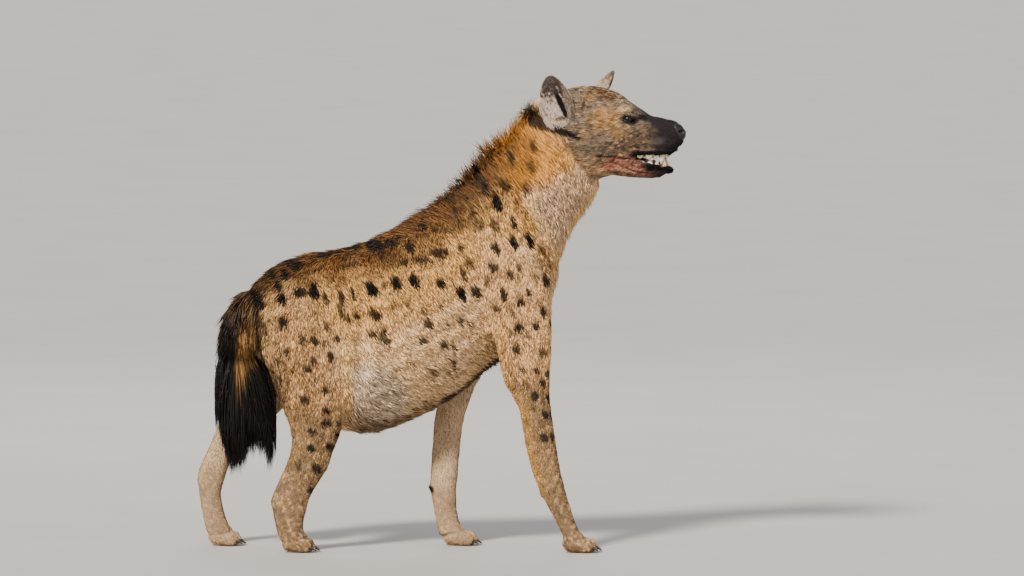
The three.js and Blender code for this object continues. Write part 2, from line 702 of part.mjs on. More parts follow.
function brushForm() {
  const random = seededRandom(23);
  const locks = [bodyForm(BRUSH_CORE, { sides: 10, rings: 9, cap: 10, capEnd: 24, capRings: 2 })];
  BRUSH_ROWS.forEach((top, row) => {
    for (let i = 0; i < BRUSH_LOCKS; i++) {
      const turn = (i + (row % 2) / 2) / BRUSH_LOCKS * 2 * Math.PI + 0.2 * (random() - 0.5);
      locks.push(brushLock(top, turn, random));
    }
  });
  return joined(locks);
}

// The parts, each cut back by what it meets

const trunkWhole = trunk();
const [torso, neckWhole] = partedAt(trunkWhole, NECK_BASE.at, NECK_BASE.normal);
const trunkClear = trunk(GAP);

const rightEye = eyeBall(-1);
const leftEye = eyeBall(1);
const nose = nosePad().subtract(nostril(1)).subtract(nostril(-1));
const mouthHollow = mouthSpace();
const upperTeeth = teeth(UPPER_CROWNS, UPPER_ARCH, -1);
const lowerTeeth = teeth(LOWER_CROWNS, LOWER_ARCH, 1);

function headSolid() {
  let head = joined([headForm(), brow(1), brow(-1), lids(1), lids(-1)]);
  head = without(head, lidOpening(1), lidOpening(-1), eyeBall(1, GAP), eyeBall(-1, GAP));
  head = without(head, mouthHollow, nosePad(GAP));
  return joined([head, lip(UPPER_LIP), ...upperTeeth]);
}

function jawSolid() {
  const form = bodyForm(JAW, { sides: 14, rings: 13, cap: 10, capEnd: 14 });
  const tongueHalf = (t) => [20 * Math.sin(Math.PI * Math.min(1, 0.3 + 0.7 * t)) ** 0.5, 6];
  const tongue = strand([[440, 0, 900], [485, 0, 900], [528, 0, 899]].map(vec),
    { half: tongueHalf, face: vec([0, 0, 1]), sides: 8, rings: 6, round: true });
  return joined([form.subtract(mouthHollow), lip(LOWER_LIP), tongue, ...lowerTeeth]);
}

const headStraight = headSolid();
const headClear = headTurned(headForm(GAP));
const upperTeethClear = joined(teeth(UPPER_CROWNS, UPPER_ARCH, -1, GAP));
const headKept = headForm(GAP).subtract(mouthSpace(-GAP));
const jawStraight = without(jawSolid(), headKept, upperTeethClear);
const jawClear = headTurned(bodyForm(JAW, { sides: 14, rings: 13, cap: 10, capEnd: 14, grow: GAP }));

const solids = new Map();
solids.set('torso', torso);
solids.set('neck', without(neckWhole, headClear, jawClear));
solids.set('head', headTurned(headStraight));
solids.set('jaw', headTurned(jawStraight));
solids.set('nose', headTurned(nose));
solids.set('eye_right', headTurned(rightEye));
solids.set('eye_left', headTurned(leftEye));
for (const [name, sizes] of Object.entries(EARS)) {
  solids.set(name, without(headTurned(ear(sizes)), headClear, trunkClear));
}
for (const leg of LEGS) {
  const [upperCut, footCut] = leg.joints;
  const [upper, lower] = partedAt(legForm(leg), upperCut.at, upperCut.normal);
  const [middle, foot] = partedAt(lower, footCut.at, footCut.normal);
  solids.set(leg.names[0], upper.subtract(trunkClear));
  solids.set(leg.names[1], middle.subtract(trunkClear));
  solids.set(leg.names[2], foot);
}
const thighsClear = joined(LEGS.slice(2).map((leg) => legForm(leg, GAP)));
const earsWhole = joined(Object.values(EARS).map((sizes) => headTurned(ear(sizes))));
solids.set('mane', without(maneForm(), trunkClear, headClear, earsWhole));
const tailRoot = bodyForm(TAIL_ROOT, { sides: 10, rings: 10, cap: 10, capEnd: 20, capRings: 2 });
const [rootPart] = partedAt(tailRoot, BRUSH_TOP.at, BRUSH_TOP.normal);
const [, brushPart] = partedAt(brushForm(), BRUSH_TOP.at, BRUSH_TOP.normal);
solids.set('tail_root', without(rootPart, trunkClear, thighsClear));
solids.set('tail_switch', without(brushPart, trunkClear, thighsClear));

// Finishes

const FINISHES = {
  coat: { color: 0xb08a5c, roughness: 0.9, metalness: 0 },
  dark_coat: { color: 0x2a211b, roughness: 0.85, metalness: 0 },
  mane_hair: { color: 0x9a6a36, roughness: 0.9, metalness: 0 },
  face: { color: 0x6b5846, roughness: 0.85, metalness: 0 },
  nose_leather: { color: 0x161414, roughness: 0.35, metalness: 0 },
  eye: { color: 0x1c120b, roughness: 0.08, metalness: 0 },
};

function finishOf(name) {
  if (name.startsWith('eye')) return FINISHES.eye;
  if (name === 'nose') return FINISHES.nose_leather;
  if (name === 'head' || name === 'jaw') return FINISHES.face;
  if (name === 'mane') return FINISHES.mane_hair;
  if (name === 'tail_switch') return FINISHES.dark_coat;
  return FINISHES.coat;
}

function meshOf(name, body) {
  const { vertProperties, triVerts } = largest(body).getMesh();
  const geometry = new THREE.BufferGeometry();
  geometry.setAttribute('position', new THREE.BufferAttribute(vertProperties, 3));
  geometry.setIndex(new THREE.BufferAttribute(triVerts, 1));
  geometry.computeVertexNormals();
  const mesh = new THREE.Mesh(geometry, new THREE.MeshStandardMaterial(finishOf(name)));
  mesh.name = name;
  return mesh;
}

const hyena = new THREE.Group();
for (const [name, body] of solids) hyena.add(meshOf(name, body));

// The middle of the footprint stands at the origin
const bounds = new THREE.Box3().setFromObject(hyena);
const middle = bounds.getCenter(new THREE.Vector3());
hyena.position.set(-middle.x, -middle.y, -bounds.min.z);

export default hyena;
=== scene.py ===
# %% [markdown]
# # A spotted hyena, as a museum model
#
# A museum model of an animal is built in layers, and so is this file: a skin over the
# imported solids, then eyes, ears, nose, mouth and claws, and at last the coat. The solids
# are loaded first and are never changed. They say where everything is, in metres, with
# the animal facing +X, its back up +Z and its right side towards -Y.

# %% Load the frame
import math

import bmesh
import bpy
import numpy as np
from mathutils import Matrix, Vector
from mathutils.bvhtree import BVHTree
from mathutils.kdtree import KDTree


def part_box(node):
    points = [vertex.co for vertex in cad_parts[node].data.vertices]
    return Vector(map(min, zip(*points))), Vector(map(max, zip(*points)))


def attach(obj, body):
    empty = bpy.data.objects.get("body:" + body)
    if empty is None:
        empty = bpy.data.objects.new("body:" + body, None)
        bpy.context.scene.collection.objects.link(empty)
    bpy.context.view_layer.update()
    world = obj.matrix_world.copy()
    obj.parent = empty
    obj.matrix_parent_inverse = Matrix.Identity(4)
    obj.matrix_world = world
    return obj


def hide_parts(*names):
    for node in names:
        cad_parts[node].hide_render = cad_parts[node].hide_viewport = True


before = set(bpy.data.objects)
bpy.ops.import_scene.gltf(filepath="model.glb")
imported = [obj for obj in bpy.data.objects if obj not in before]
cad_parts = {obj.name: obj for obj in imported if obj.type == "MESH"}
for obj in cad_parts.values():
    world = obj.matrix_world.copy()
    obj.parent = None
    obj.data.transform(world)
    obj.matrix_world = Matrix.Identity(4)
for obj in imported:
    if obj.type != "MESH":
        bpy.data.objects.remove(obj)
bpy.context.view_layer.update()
bpy.ops.object.select_all(action="DESELECT")
print("solids:", len(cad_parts), "nodes")

# %% [markdown]
# ## Sizes and small helpers
#
# Real sizes are written in millimetres and turned to metres by one constant. The head
# looks a little to its right, which is awkward to think in, so places on the head are
# written as if it looked straight ahead, and one function turns them.

# %% Sizes and helpers
MM = 0.001
HEAD_TURN = math.radians(-12)
HEAD_PIVOT = np.array([294.0, 0.0, 988.0])
FRAME_SHIFT = np.array([-2.72, 0.0, 0.0])      # from the drawing's origin to the frame's
UP = np.array([0.0, 0.0, 1.0])

turn = np.array([
    [math.cos(HEAD_TURN), -math.sin(HEAD_TURN), 0],
    [math.sin(HEAD_TURN), math.cos(HEAD_TURN), 0],
    [0, 0, 1],
])


def on_head(points):
    """Millimetres on the straight head to metres on the turned one."""
    points = np.asarray(points, float)
    return ((points - HEAD_PIVOT) @ turn.T + HEAD_PIVOT + FRAME_SHIFT) * MM


def straight(points):
    """Metres in the frame back to millimetres on the straight head."""
    points = np.asarray(points, float) / MM
    return (points - FRAME_SHIFT - HEAD_PIVOT) @ turn + HEAD_PIVOT


def blend(low, high, value):
    """0 below low, 1 above high, and a soft step between them."""
    share = np.clip((np.asarray(value, float) - low) / (high - low), 0, 1)
    return share * share * (3 - 2 * share)


def unit(vectors):
    length = np.linalg.norm(vectors, axis=-1, keepdims=True)
    return vectors / np.maximum(length, 1e-9)


def new_object(name, data):
    made = bpy.data.objects.new(name, data)
    bpy.context.scene.collection.objects.link(made)
    return made


def only(*objects):
    """Select these objects alone, the first of them active."""
    bpy.ops.object.select_all(action="DESELECT")
    for made in objects:
        made.select_set(True)
    bpy.context.view_layer.objects.active = objects[0]


def apply_all(made):
    only(made)
    for modifier in list(made.modifiers):
        bpy.ops.object.modifier_apply(modifier=modifier.name)


def read(items, field, width, kind=np.float32):
    """One field of all of a mesh's points, edges or triangles, with a row for each."""
    values = np.zeros(len(items) * width, kind)
    items.foreach_get(field, values)
    return values.reshape(-1, width)


def points_of(made):
    return read(made.data.vertices, "co", 3).astype(float)


def set_points(made, points):
    made.data.vertices.foreach_set("co", points.astype(np.float32).ravel())
    made.data.update()


def normals_of(made):
    return read(made.data.vertex_normals, "vector", 3).astype(float)


def edges_of(made):
    return read(made.data.edges, "vertices", 2, np.int32)


def evened(values, edges, rounds, share=1.0):
    """Each value moves towards the mean of its neighbours', rounds times."""
    values = np.array(values, float)
    flat = values.reshape(len(values), -1)
    count = np.bincount(edges.ravel(), minlength=len(flat)).astype(float)
    share = np.broadcast_to(np.asarray(share, float), len(flat))[:, None]
    for _ in range(rounds):
        total = np.stack([
            np.bincount(edges[:, 0], column[edges[:, 1]], len(flat))
            + np.bincount(edges[:, 1], column[edges[:, 0]], len(flat))
            for column in flat.T
        ], axis=1)
        flat = flat + share * (total / np.maximum(count, 1)[:, None] - flat)
    return flat.reshape(values.shape)


def smoothed(points, edges, rounds, share):
    """Smooths without shrinking: each step in is followed by one nearly as far out."""
    for _ in range(rounds):
        points = evened(points, edges, 1, 0.6 * share)
        points = evened(points, edges, 1, -0.61 * share)
    return points


# %% [markdown]
# ## Camera, light and floor
#
# The photograph was taken from a distance with a long lens, from a little over the back,
# with the sun high on the left behind the camera. A pale floor and soft lamps stand in
# for a studio that keeps the direction of that sun. The key is a sun lamp with a wide
# disc, so that its shadows are soft and the floor is lit evenly. Two area lamps fill in
# the shade and draw a rim.

# %% Camera, light and floor
VIEW_CENTRE = Vector((0.1667, 0.0, 0.616))
VIEW_DISTANCE = 20.0
VIEW_WIDTH = 2.409                             # of the photograph at the animal
VIEW_RISE = math.radians(4)
SENSOR_WIDTH = 36                              # mm
FARTHEST = 600                                 # metres, past the far edge of the floor
SKY_COLOUR, SKY_STRENGTH = (0.9, 0.94, 1, 1), 0.72

camera = new_object("camera", bpy.data.cameras.new("camera"))
back_off = Vector((0, -math.cos(VIEW_RISE), math.sin(VIEW_RISE)))
camera.location = VIEW_CENTRE + back_off * VIEW_DISTANCE
camera.rotation_euler = (-back_off).to_track_quat("-Z", "Y").to_euler()
camera.data.sensor_width = SENSOR_WIDTH
camera.data.lens = SENSOR_WIDTH * VIEW_DISTANCE / VIEW_WIDTH
camera.data.clip_end = FARTHEST
bpy.context.scene.camera = camera

LAMPS = {                                      # kind, place, size, strength, colour
    "key": ("SUN", (-2.4, -4.4, 5.0), math.radians(10), 6.9, (1.0, 0.94, 0.85)),
    "fill": ("AREA", (4.4, -3.4, 2.0), 4.0, 66, (0.9, 0.95, 1.0)),
    "rim": ("AREA", (-0.6, 4.2, 3.6), 3.0, 90, (1.0, 0.97, 0.92)),
}
for name, (kind, place, size, strength, colour) in LAMPS.items():
    lamp = new_object(name, bpy.data.lights.new(name, kind))
    lamp.location = place
    lamp.rotation_euler = (VIEW_CENTRE - Vector(place)).to_track_quat("-Z", "Y").to_euler()
    if kind == "SUN":
        lamp.data.angle = size
    else:
        lamp.data.size = size
    lamp.data.energy = strength
    lamp.data.color = colour

world = bpy.data.worlds.new("studio")
world.use_nodes = True
background = world.node_tree.nodes["Background"].inputs
background["Color"].default_value = SKY_COLOUR
background["Strength"].default_value = SKY_STRENGTH
bpy.context.scene.world = world
print("lamps:", len(LAMPS))

# %% [markdown]
# ## The skin
#
# A real hide has no joints between neck and shoulder, but the solids do. Copies of all
# the flesh are swollen by half a millimetre so that they touch, joined, and wrapped in
# one new surface by a voxel remesh, which is how a sculptor fuses clay. The teeth would
# fuse with the lips, so a wedge first clears the gap between them. It is the open mouth.

# %% Copies of the flesh, with the mouth cleared
SWELL = 0.45 * MM                              # closes the gaps between the solids
SKIN_VOXEL = 5 * MM
MOUTH_WEDGE = [                                # side view of the open mouth, x and z
    (450, 921), (474, 931), (530, 932), (620, 936),
    (620, 905), (517, 907), (495, 908), (472, 912),
]
MOUTH_HALF_WIDTH = 75
SOFT_ROLLS = [                                 # lower lip, and skin in front of the ear
    ((438, 43, 923), (21, 7, 15)), ((460, 39, 914), (17, 6, 11)), ((476, 36, 911), (16, 6, 11)),
    ((494, 33, 907), (18, 6, 9)), ((512, 28, 905), (16, 6, 7)), ((336, 56, 1040), (17, 11, 34)),
]
NOT_IN_SKIN = ("ear_left", "ear_right", "mane", "nose", "tail_switch")
FLESH = sorted(set(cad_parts) - set(NOT_IN_SKIN))


def copy_of(node, name, swell=0.0):
    """A copy of a CAD node with its loose triangles merged, swollen if wanted."""
    made = new_object(name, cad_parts[node].data.copy())
    made.data.materials.clear()
    work = bmesh.new()
    work.from_mesh(made.data)
    bmesh.ops.remove_doubles(work, verts=work.verts, dist=0.01 * MM)
    work.normal_update()
    for vertex in work.verts:
        vertex.co += vertex.normal * swell
    work.to_mesh(made.data)
    work.free()
    return made


def edited(made, *steps):
    """Runs these steps in edit mode, with the whole mesh selected."""
    only(made)
    bpy.ops.object.mode_set(mode="EDIT")
    bpy.ops.mesh.select_all(action="SELECT")
    for step in steps:
        step()
    bpy.ops.object.mode_set(mode="OBJECT")


def faces_out():
    bpy.ops.mesh.normals_make_consistent(inside=False)


def prism(name, outline, half_width):
    """A side-view outline in head millimetres, made a solid across the head."""
    count = len(outline)
    points = [(x, side * half_width, z) for side in (-1, 1) for x, z in outline]
    faces = [tuple(range(count)), tuple(range(2 * count - 1, count - 1, -1))]
    faces += [(i, i + count, (i + 1) % count + count, (i + 1) % count) for i in range(count)]
    mesh = bpy.data.meshes.new(name)
    mesh.from_pydata(on_head(points).tolist(), [], faces)
    made = new_object(name, mesh)
    edited(made, faces_out)
    return made


def unit_ball(segments, rings):
    """A ball of radius 1 about the origin, to be stretched into place."""
    bpy.ops.mesh.primitive_uv_sphere_add(segments=segments, ring_count=rings, radius=1)
    return bpy.context.active_object


def side_of(place, side):
    """The place itself for side 1, and its twin on the other side for -1."""
    return (place[0], place[1] * side, place[2])


wedge = prism("mouth_wedge", MOUTH_WEDGE, MOUTH_HALF_WIDTH)
flesh = [copy_of(node, "flesh_" + node, SWELL) for node in FLESH]
for made in flesh:
    if made.name in ("flesh_head", "flesh_jaw"):
        cut = made.modifiers.new("mouth", "BOOLEAN")
        cut.object = wedge
        cut.solver = "MANIFOLD"
        apply_all(made)
bpy.data.objects.remove(wedge)
for place, radii in SOFT_ROLLS:
    for side in (-1, 1):
        roll = unit_ball(24, 16)
        set_points(roll, on_head(points_of(roll) * np.array(radii) + side_of(place, side)))
        flesh.append(roll)
print("flesh:", len(flesh), "copies")

# %% One skin over all of it
def renamed(made, name):
    made.name = made.data.name = name
    return made


def joined(name, pieces):
    only(*pieces)
    bpy.ops.object.join()
    return renamed(bpy.context.view_layer.objects.active, name)


def keep_largest(made):
    """Drops every loose scrap of a mesh but its largest connected piece."""
    work = bmesh.new()
    work.from_mesh(made.data)
    work.verts.ensure_lookup_table()
    label = [-1] * len(work.verts)
    sizes = []
    for start in work.verts:
        if label[start.index] >= 0:
            continue
        label[start.index] = len(sizes)
        stack, size = [start], 0
        while stack:
            vertex = stack.pop()
            size += 1
            for edge in vertex.link_edges:
                other = edge.other_vert(vertex)
                if label[other.index] < 0:
                    label[other.index] = len(sizes)
                    stack.append(other)
        sizes.append(size)
    biggest = sizes.index(max(sizes))
    scraps = [v for v in work.verts if label[v.index] != biggest]
    bmesh.ops.delete(work, geom=scraps, context="VERTS")
    work.to_mesh(made.data)
    work.free()
    return len(sizes) - 1


def remeshed(made, voxel):
    """Wraps a mesh in one new surface of this grain, and counts the scraps it drops."""
    made.data.remesh_voxel_size = voxel
    only(made)
    bpy.ops.object.voxel_remesh()
    return keep_largest(made)


skin = joined("skin", flesh)
carved = BVHTree.FromObject(skin, bpy.context.evaluated_depsgraph_get())
dropped = remeshed(skin, SKIN_VOXEL)
print("skin:", len(skin.data.polygons), "faces,", dropped, "scraps dropped")

# %% [markdown]
# The remesh has the same grain everywhere, but a face or a paw needs finer grain than a
# flank. So the faces of head and paws are subdivided, those of the muzzle twice, and laid
# back on the carved solids, which brings back the lips and toes that the remesh blurred.

# %% Finer grain on head and paws
FINE_FROM = 330                                # head x where the grain gets finer, in mm
FINEST_FROM = 412
HEAD_FLOOR = 850                               # all of the head is higher than this
PAW_TOP = 42


def subdivided(made, wanted):
    """Cuts the edges in two whose ends are both wanted."""
    work = bmesh.new()
    work.from_mesh(made.data)
    inside = wanted(np.array([v.co for v in work.verts]))
    edges = [e for e in work.edges if all(inside[v.index] for v in e.verts)]
    bmesh.ops.subdivide_edges(work, edges=edges, cuts=1, use_grid_fill=True)
    work.to_mesh(made.data)
    work.free()


def ahead_of(at, start):
    """Whether places are on the head, in front of this x."""
    return (straight(at)[:, 0] > start) & (at[:, 2] > HEAD_FLOOR * MM)


subdivided(skin, lambda at: ahead_of(at, FINE_FROM) | (at[:, 2] < PAW_TOP * MM))
subdivided(skin, lambda at: ahead_of(at, FINEST_FROM))
points, edges = points_of(skin), edges_of(skin)
on_face = blend(FINE_FROM, FINE_FROM + 20, straight(points)[:, 0])
on_paw = 1 - blend(PAW_TOP - 10, PAW_TOP, points[:, 2] / MM)
fine = np.maximum(on_face, on_paw)
points = smoothed(points, edges, 6, 1.0)
for i in np.nonzero(fine > 0)[0]:
    nearest = carved.find_nearest(Vector(points[i]), 6 * MM)[0]
    if nearest is not None:
        points[i] += fine[i] * (np.array(nearest) - points[i])
print("skin:", len(points), "points")

# %% [markdown]
# Now the facets of the solids are smoothed away. Each round of smoothing in is followed
# by one out, so that the legs don't thin. The body takes many rounds and the lips few.

# %% Smooth the facets away
MOUTH_LEVEL = 921                              # height of the gap between the lips
WRIST_HEIGHT = 138
FORELEGS_FROM = -0.1                           # metres: the forelegs are ahead of this x

head_points = straight(points)
near_mouth = 1 - blend(16, 30, np.abs(head_points[:, 2] - MOUTH_LEVEL))
near_mouth = near_mouth * blend(415, 440, head_points[:, 0])
body_points = smoothed(points, edges, 36, 1.0)
face_points = smoothed(points, edges, 14, 1 - 0.65 * near_mouth)
points = body_points + fine[:, None] * (face_points - body_points)
at_wrist = 1 - blend(14, 26, np.abs(points[:, 2] / MM - WRIST_HEIGHT))
points = evened(points, edges, 8, at_wrist * (points[:, 0] > FORELEGS_FROM))
set_points(skin, points)
print("smoothed:", len(points), "points")

# %% [markdown]
# ## Forms under the hide
#
# Bones and muscles show through short fur as soft swellings and hollows. A sculptor would
# press and pull clay with a thumb. `pressed` does the same: it raises the surface round
# a place, or sinks it, and fades out at the rim.

# %% Press the face and the muscles into the skin
FACE_FORMS = [                                 # place, radii, rise, for both sides
    ((440, 44, 992), (34, 16, 9), 2.4),        # cheek bone below the eye
    ((392, 58, 1000), (34, 16, 10), 2.2),      # its arch towards the ear
    ((404, 50, 1032), (30, 18, 20), -3.0),     # temple
    ((386, 62, 952), (34, 24, 32), 3.4),       # jaw muscle
    ((440, 42, 962), (24, 16, 22), -2.4),      # hollow between jaw muscle and lip
    ((470, 30, 1014), (18, 12, 10), -3.2),     # inner corner of the eye
    ((532, 27, 960), (34, 16, 17), 2.6),       # whisker pad
    ((512, 22, 996), (46, 9, 7), -1.8),        # side of the bridge
    ((424, 40, 918), (15, 14, 13), 1.8),       # fold at the corner of the mouth
    ((407, 50, 929), (26, 14, 4), -1.8),       # creases above and in front of it
    ((440, 46, 923), (18, 10, 4), -2.0),
    ((470, 40, 886), (46, 10, 8), 1.6),        # edge of the lower jaw
]
MID_FACE_FORMS = [
    ((430, 0, 1052), (44, 7, 24), -2.2),       # furrow of the forehead
    ((350, 0, 1078), (60, 9, 20), 2.2),        # crest of the skull
    ((558, 0, 1004), (36, 20, 15), 5.0),       # end of the bridge, level with the nose
    ((528, 0, 1013), (56, 18, 15), 5.5),       # top of the bridge
]
FOREPAW_WIDTH = 74
PAWS = {                                       # x, y, length and width, in mm
    "forepaw_right": (326, -85, 80, FOREPAW_WIDTH),
    "forepaw_left": (44, 85, 80, FOREPAW_WIDTH),
    "hindpaw_right": (-334, -80, 76, 68), "hindpaw_left": (-512, 80, 76, 68),
}
TOE_SPREAD = 15.5                              # from one toe of a forepaw to the next
BODY_FORMS = [                                 # ends of a stroke, its radius and rise
    ((176, -92, 760), (236, -112, 600), 46, 5.0),      # shoulder blade to the point
    ((150, -112, 640), (120, -128, 500), 34, -6.0),    # hollow behind the shoulder
    ((216, -122, 600), (160, -124, 480), 40, 4.5),     # long head of the upper arm
    ((250, -112, 470), (232, -104, 400), 26, -3.0),    # bend of the elbow, in front
    ((-226, -122, 600), (-214, -140, 380), 30, 5.0),   # front of the thigh
    ((-184, -130, 560), (-176, -132, 430), 26, -7.0),  # flank in front of it
    ((-336, -110, 590), (-320, -140, 430), 44, 4.0),   # back of the thigh
    ((-330, -100, 250), (-352, -90, 170), 12, -3.0),   # groove of the heel string
    ((-290, -100, 330), (-300, -108, 230), 24, 2.5),   # calf
    ((228, -100, 330), (246, -96, 220), 16, 1.8),      # muscle of the forearm
    ((-300, -60, 690), (-250, -70, 706), 30, 3.0),     # hip bone
]


def pressed(points, normals, place, radii, rise):
    away = np.linalg.norm((points - np.array(place)) / np.array(radii), axis=1)
    return points + normals * (rise * (1 - blend(0, 1, away)))[:, None]


def stroked(points, normals, start, end, radius, rise):
    """Presses along a line, as a thumb drawn from one place to another."""
    start, end = np.array(start, float), np.array(end, float)
    along = (points - start) @ (end - start) / np.sum((end - start) ** 2)
    nearest = start + np.clip(along, 0, 1)[:, None] * (end - start)
    away = np.linalg.norm(points - nearest, axis=1) / radius
    return points + normals * (rise * (1 - blend(0, 1, away)))[:, None]


def toe_step(width):
    return TOE_SPREAD * width / FOREPAW_WIDTH


def toe_places(x, y, width):
    """x and y for the four toes of a paw, of which the outer two stand back."""
    return [(x - 5 * abs(place) ** 1.5, y + place * toe_step(width))
            for place in (-1.5, -0.5, 0.5, 1.5)]


normals = normals_of(skin)
head_points, head_normals = straight(points), normals @ turn
for place, radii, rise in FACE_FORMS:
    for side in (-1, 1):
        head_points = pressed(head_points, head_normals, side_of(place, side), radii, rise)
for place, radii, rise in MID_FACE_FORMS:
    head_points = pressed(head_points, head_normals, place, radii, rise)
points = on_head(head_points)
body_points = points / MM - FRAME_SHIFT
for start, end, radius, rise in BODY_FORMS:
    body_points = stroked(body_points, normals, start, end, radius, rise)
    left_rise = rise if start[2] > 600 else 0  # the left legs stand elsewhere
    left_ends = side_of(start, -1), side_of(end, -1)
    body_points = stroked(body_points, normals, *left_ends, radius, left_rise)
for x, y, length, width in PAWS.values():
    for place in (-1, 0, 1):                   # three grooves part four toes
        groove = y + place * toe_step(width)
        start, end = (x + 0.22 * length, groove, 40), (x + 0.6 * length, groove, 8)
        body_points = stroked(body_points, normals, start, end, 7, -5.5)
    for toe_x, toe_y in toe_places(x, y, width):
        knuckle = (toe_x + 0.36 * length, toe_y, 26)
        body_points = pressed(body_points, normals, knuckle, (18, 8, 14), 3.4)
points = (body_points + FRAME_SHIFT) * MM
set_points(skin, points)
print("forms:", 2 * len(FACE_FORMS) + len(MID_FACE_FORMS) + len(BODY_FORMS))

# %% [markdown]
# ## Which part of the body a place belongs to
#
# Depth, length and colour of the coat differ from the face to the flank. Each point of
# the skin takes the name of the CAD node nearest to it. Those names change from one to
# the next at a line, so each is turned into a share, and the shares are evened out.

# %% Regions
REGIONS = {
    "trunk": ["torso"], "neck": ["neck"], "head": ["head", "jaw", "eye_left", "eye_right"],
    "tail": ["tail_root"],
    "arm": ["upper_arm_left", "upper_arm_right"],
    "forearm": ["forearm_left", "forearm_right"],
    "thigh": ["thigh_left", "thigh_right"], "shank": ["shank_left", "shank_right"],
    "paw": ["forepaw_left", "forepaw_right", "hindpaw_left", "hindpaw_right"],
}
SAMPLE_SPACING = 9                             # of the points that stand for a node
random = np.random.default_rng(11)
random_off = random.standard_normal            # numbers about 0, most of them within 1


def in_triangles(count):
    """Random places in count triangles, as shares of the way along two of the sides."""
    u, v = random.random((2, count))
    over = u + v > 1
    return np.where(over, 1 - u, u), np.where(over, 1 - v, v)


def spread_on(mesh, spacing):
    """Random points on a mesh of triangles, one for each square of this side, in mm."""
    mesh.calc_loop_triangles()
    corners = read(mesh.loop_triangles, "vertices", 3, np.int32)
    a, b, c = read(mesh.vertices, "co", 3)[corners].transpose(1, 0, 2)
    area = np.linalg.norm(np.cross(b - a, c - a), axis=1) / 2
    each = np.ceil(area / (spacing * MM) ** 2).astype(int)
    pick = np.repeat(np.arange(len(area)), each)
    u, v = in_triangles(len(pick))
    return a[pick] + u[:, None] * (b - a)[pick] + v[:, None] * (c - a)[pick]


samples, owners = [], []
for index, nodes in enumerate(REGIONS.values()):
    for node in nodes:
        found = spread_on(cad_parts[node].data, SAMPLE_SPACING)
        samples.append(found)
        owners += [index] * len(found)
samples = np.concatenate(samples)
tree = KDTree(len(samples))
for i, place in enumerate(samples):
    tree.insert(place, i)
tree.balance()
shares = np.zeros((len(points), len(REGIONS)))
for i, place in enumerate(points):
    shares[i, owners[tree.find(place)[1]]] = 1
edges = edges_of(skin)
shares = evened(shares, edges, 26)
shares /= shares.sum(axis=1, keepdims=True)


def by_region(values):
    """One value for each region, blended over the skin by the shares."""
    return shares @ np.array([values[name] for name in REGIONS], float)


print("regions:", len(REGIONS), "from", len(samples), "samples")

# %% Sink the skin by the depth of the coat
def shaded_smooth(made):
    only(made)
    bpy.ops.object.shade_smooth()


COAT_DEPTH = dict(trunk=5.5, neck=5, head=1.2, tail=7, arm=3.5, forearm=1.6, thigh=4,
                  shank=1.6, paw=1.0)
head_points = straight(points)
depth = by_region(COAT_DEPTH)
depth *= 1 - 0.6 * blend(400, 470, head_points[:, 0]) * (head_points[:, 2] > HEAD_FLOOR)
depth = evened(depth, edges, 8)
points = points - normals_of(skin) * (depth * MM)[:, None]
points = smoothed(points, edges, 3, 1 - fine)
points[:, 2] = np.maximum(points[:, 2], 0.2 * MM)
set_points(skin, points)
shaded_smooth(skin)
print("coat depth:", round(depth.min(), 1), "to", round(depth.max(), 1), "mm")

# %% [markdown]
# ## An unwrap for skin and coat
#
# Each tuft of the coat gets its place on the unwrap from the place on the skin from which
# it grows. So the skin is unwrapped once, by its own shape.

# %% Unwrap the skin
def unwrapped(made):
    edited(made, lambda: bpy.ops.uv.smart_project(angle_limit=math.radians(66),
                                                  island_margin=0.002))
    made.data.uv_layers[0].name = "OFBake"


unwrapped(skin)
print("unwrap:", len(skin.data.uv_layers), "map")

# %% [markdown]
# ## Colours of the hide
#
# Every hair of a spotted hyena is sandy, ochre or grey, paler below and darker along the
# back, with near-black brown spots. The spots are written down one by one where the
# photograph shows them on the right side. The left side is out of sight, so it takes
# the same ones, shifted a little. Skin and coat ask one function for their colour.

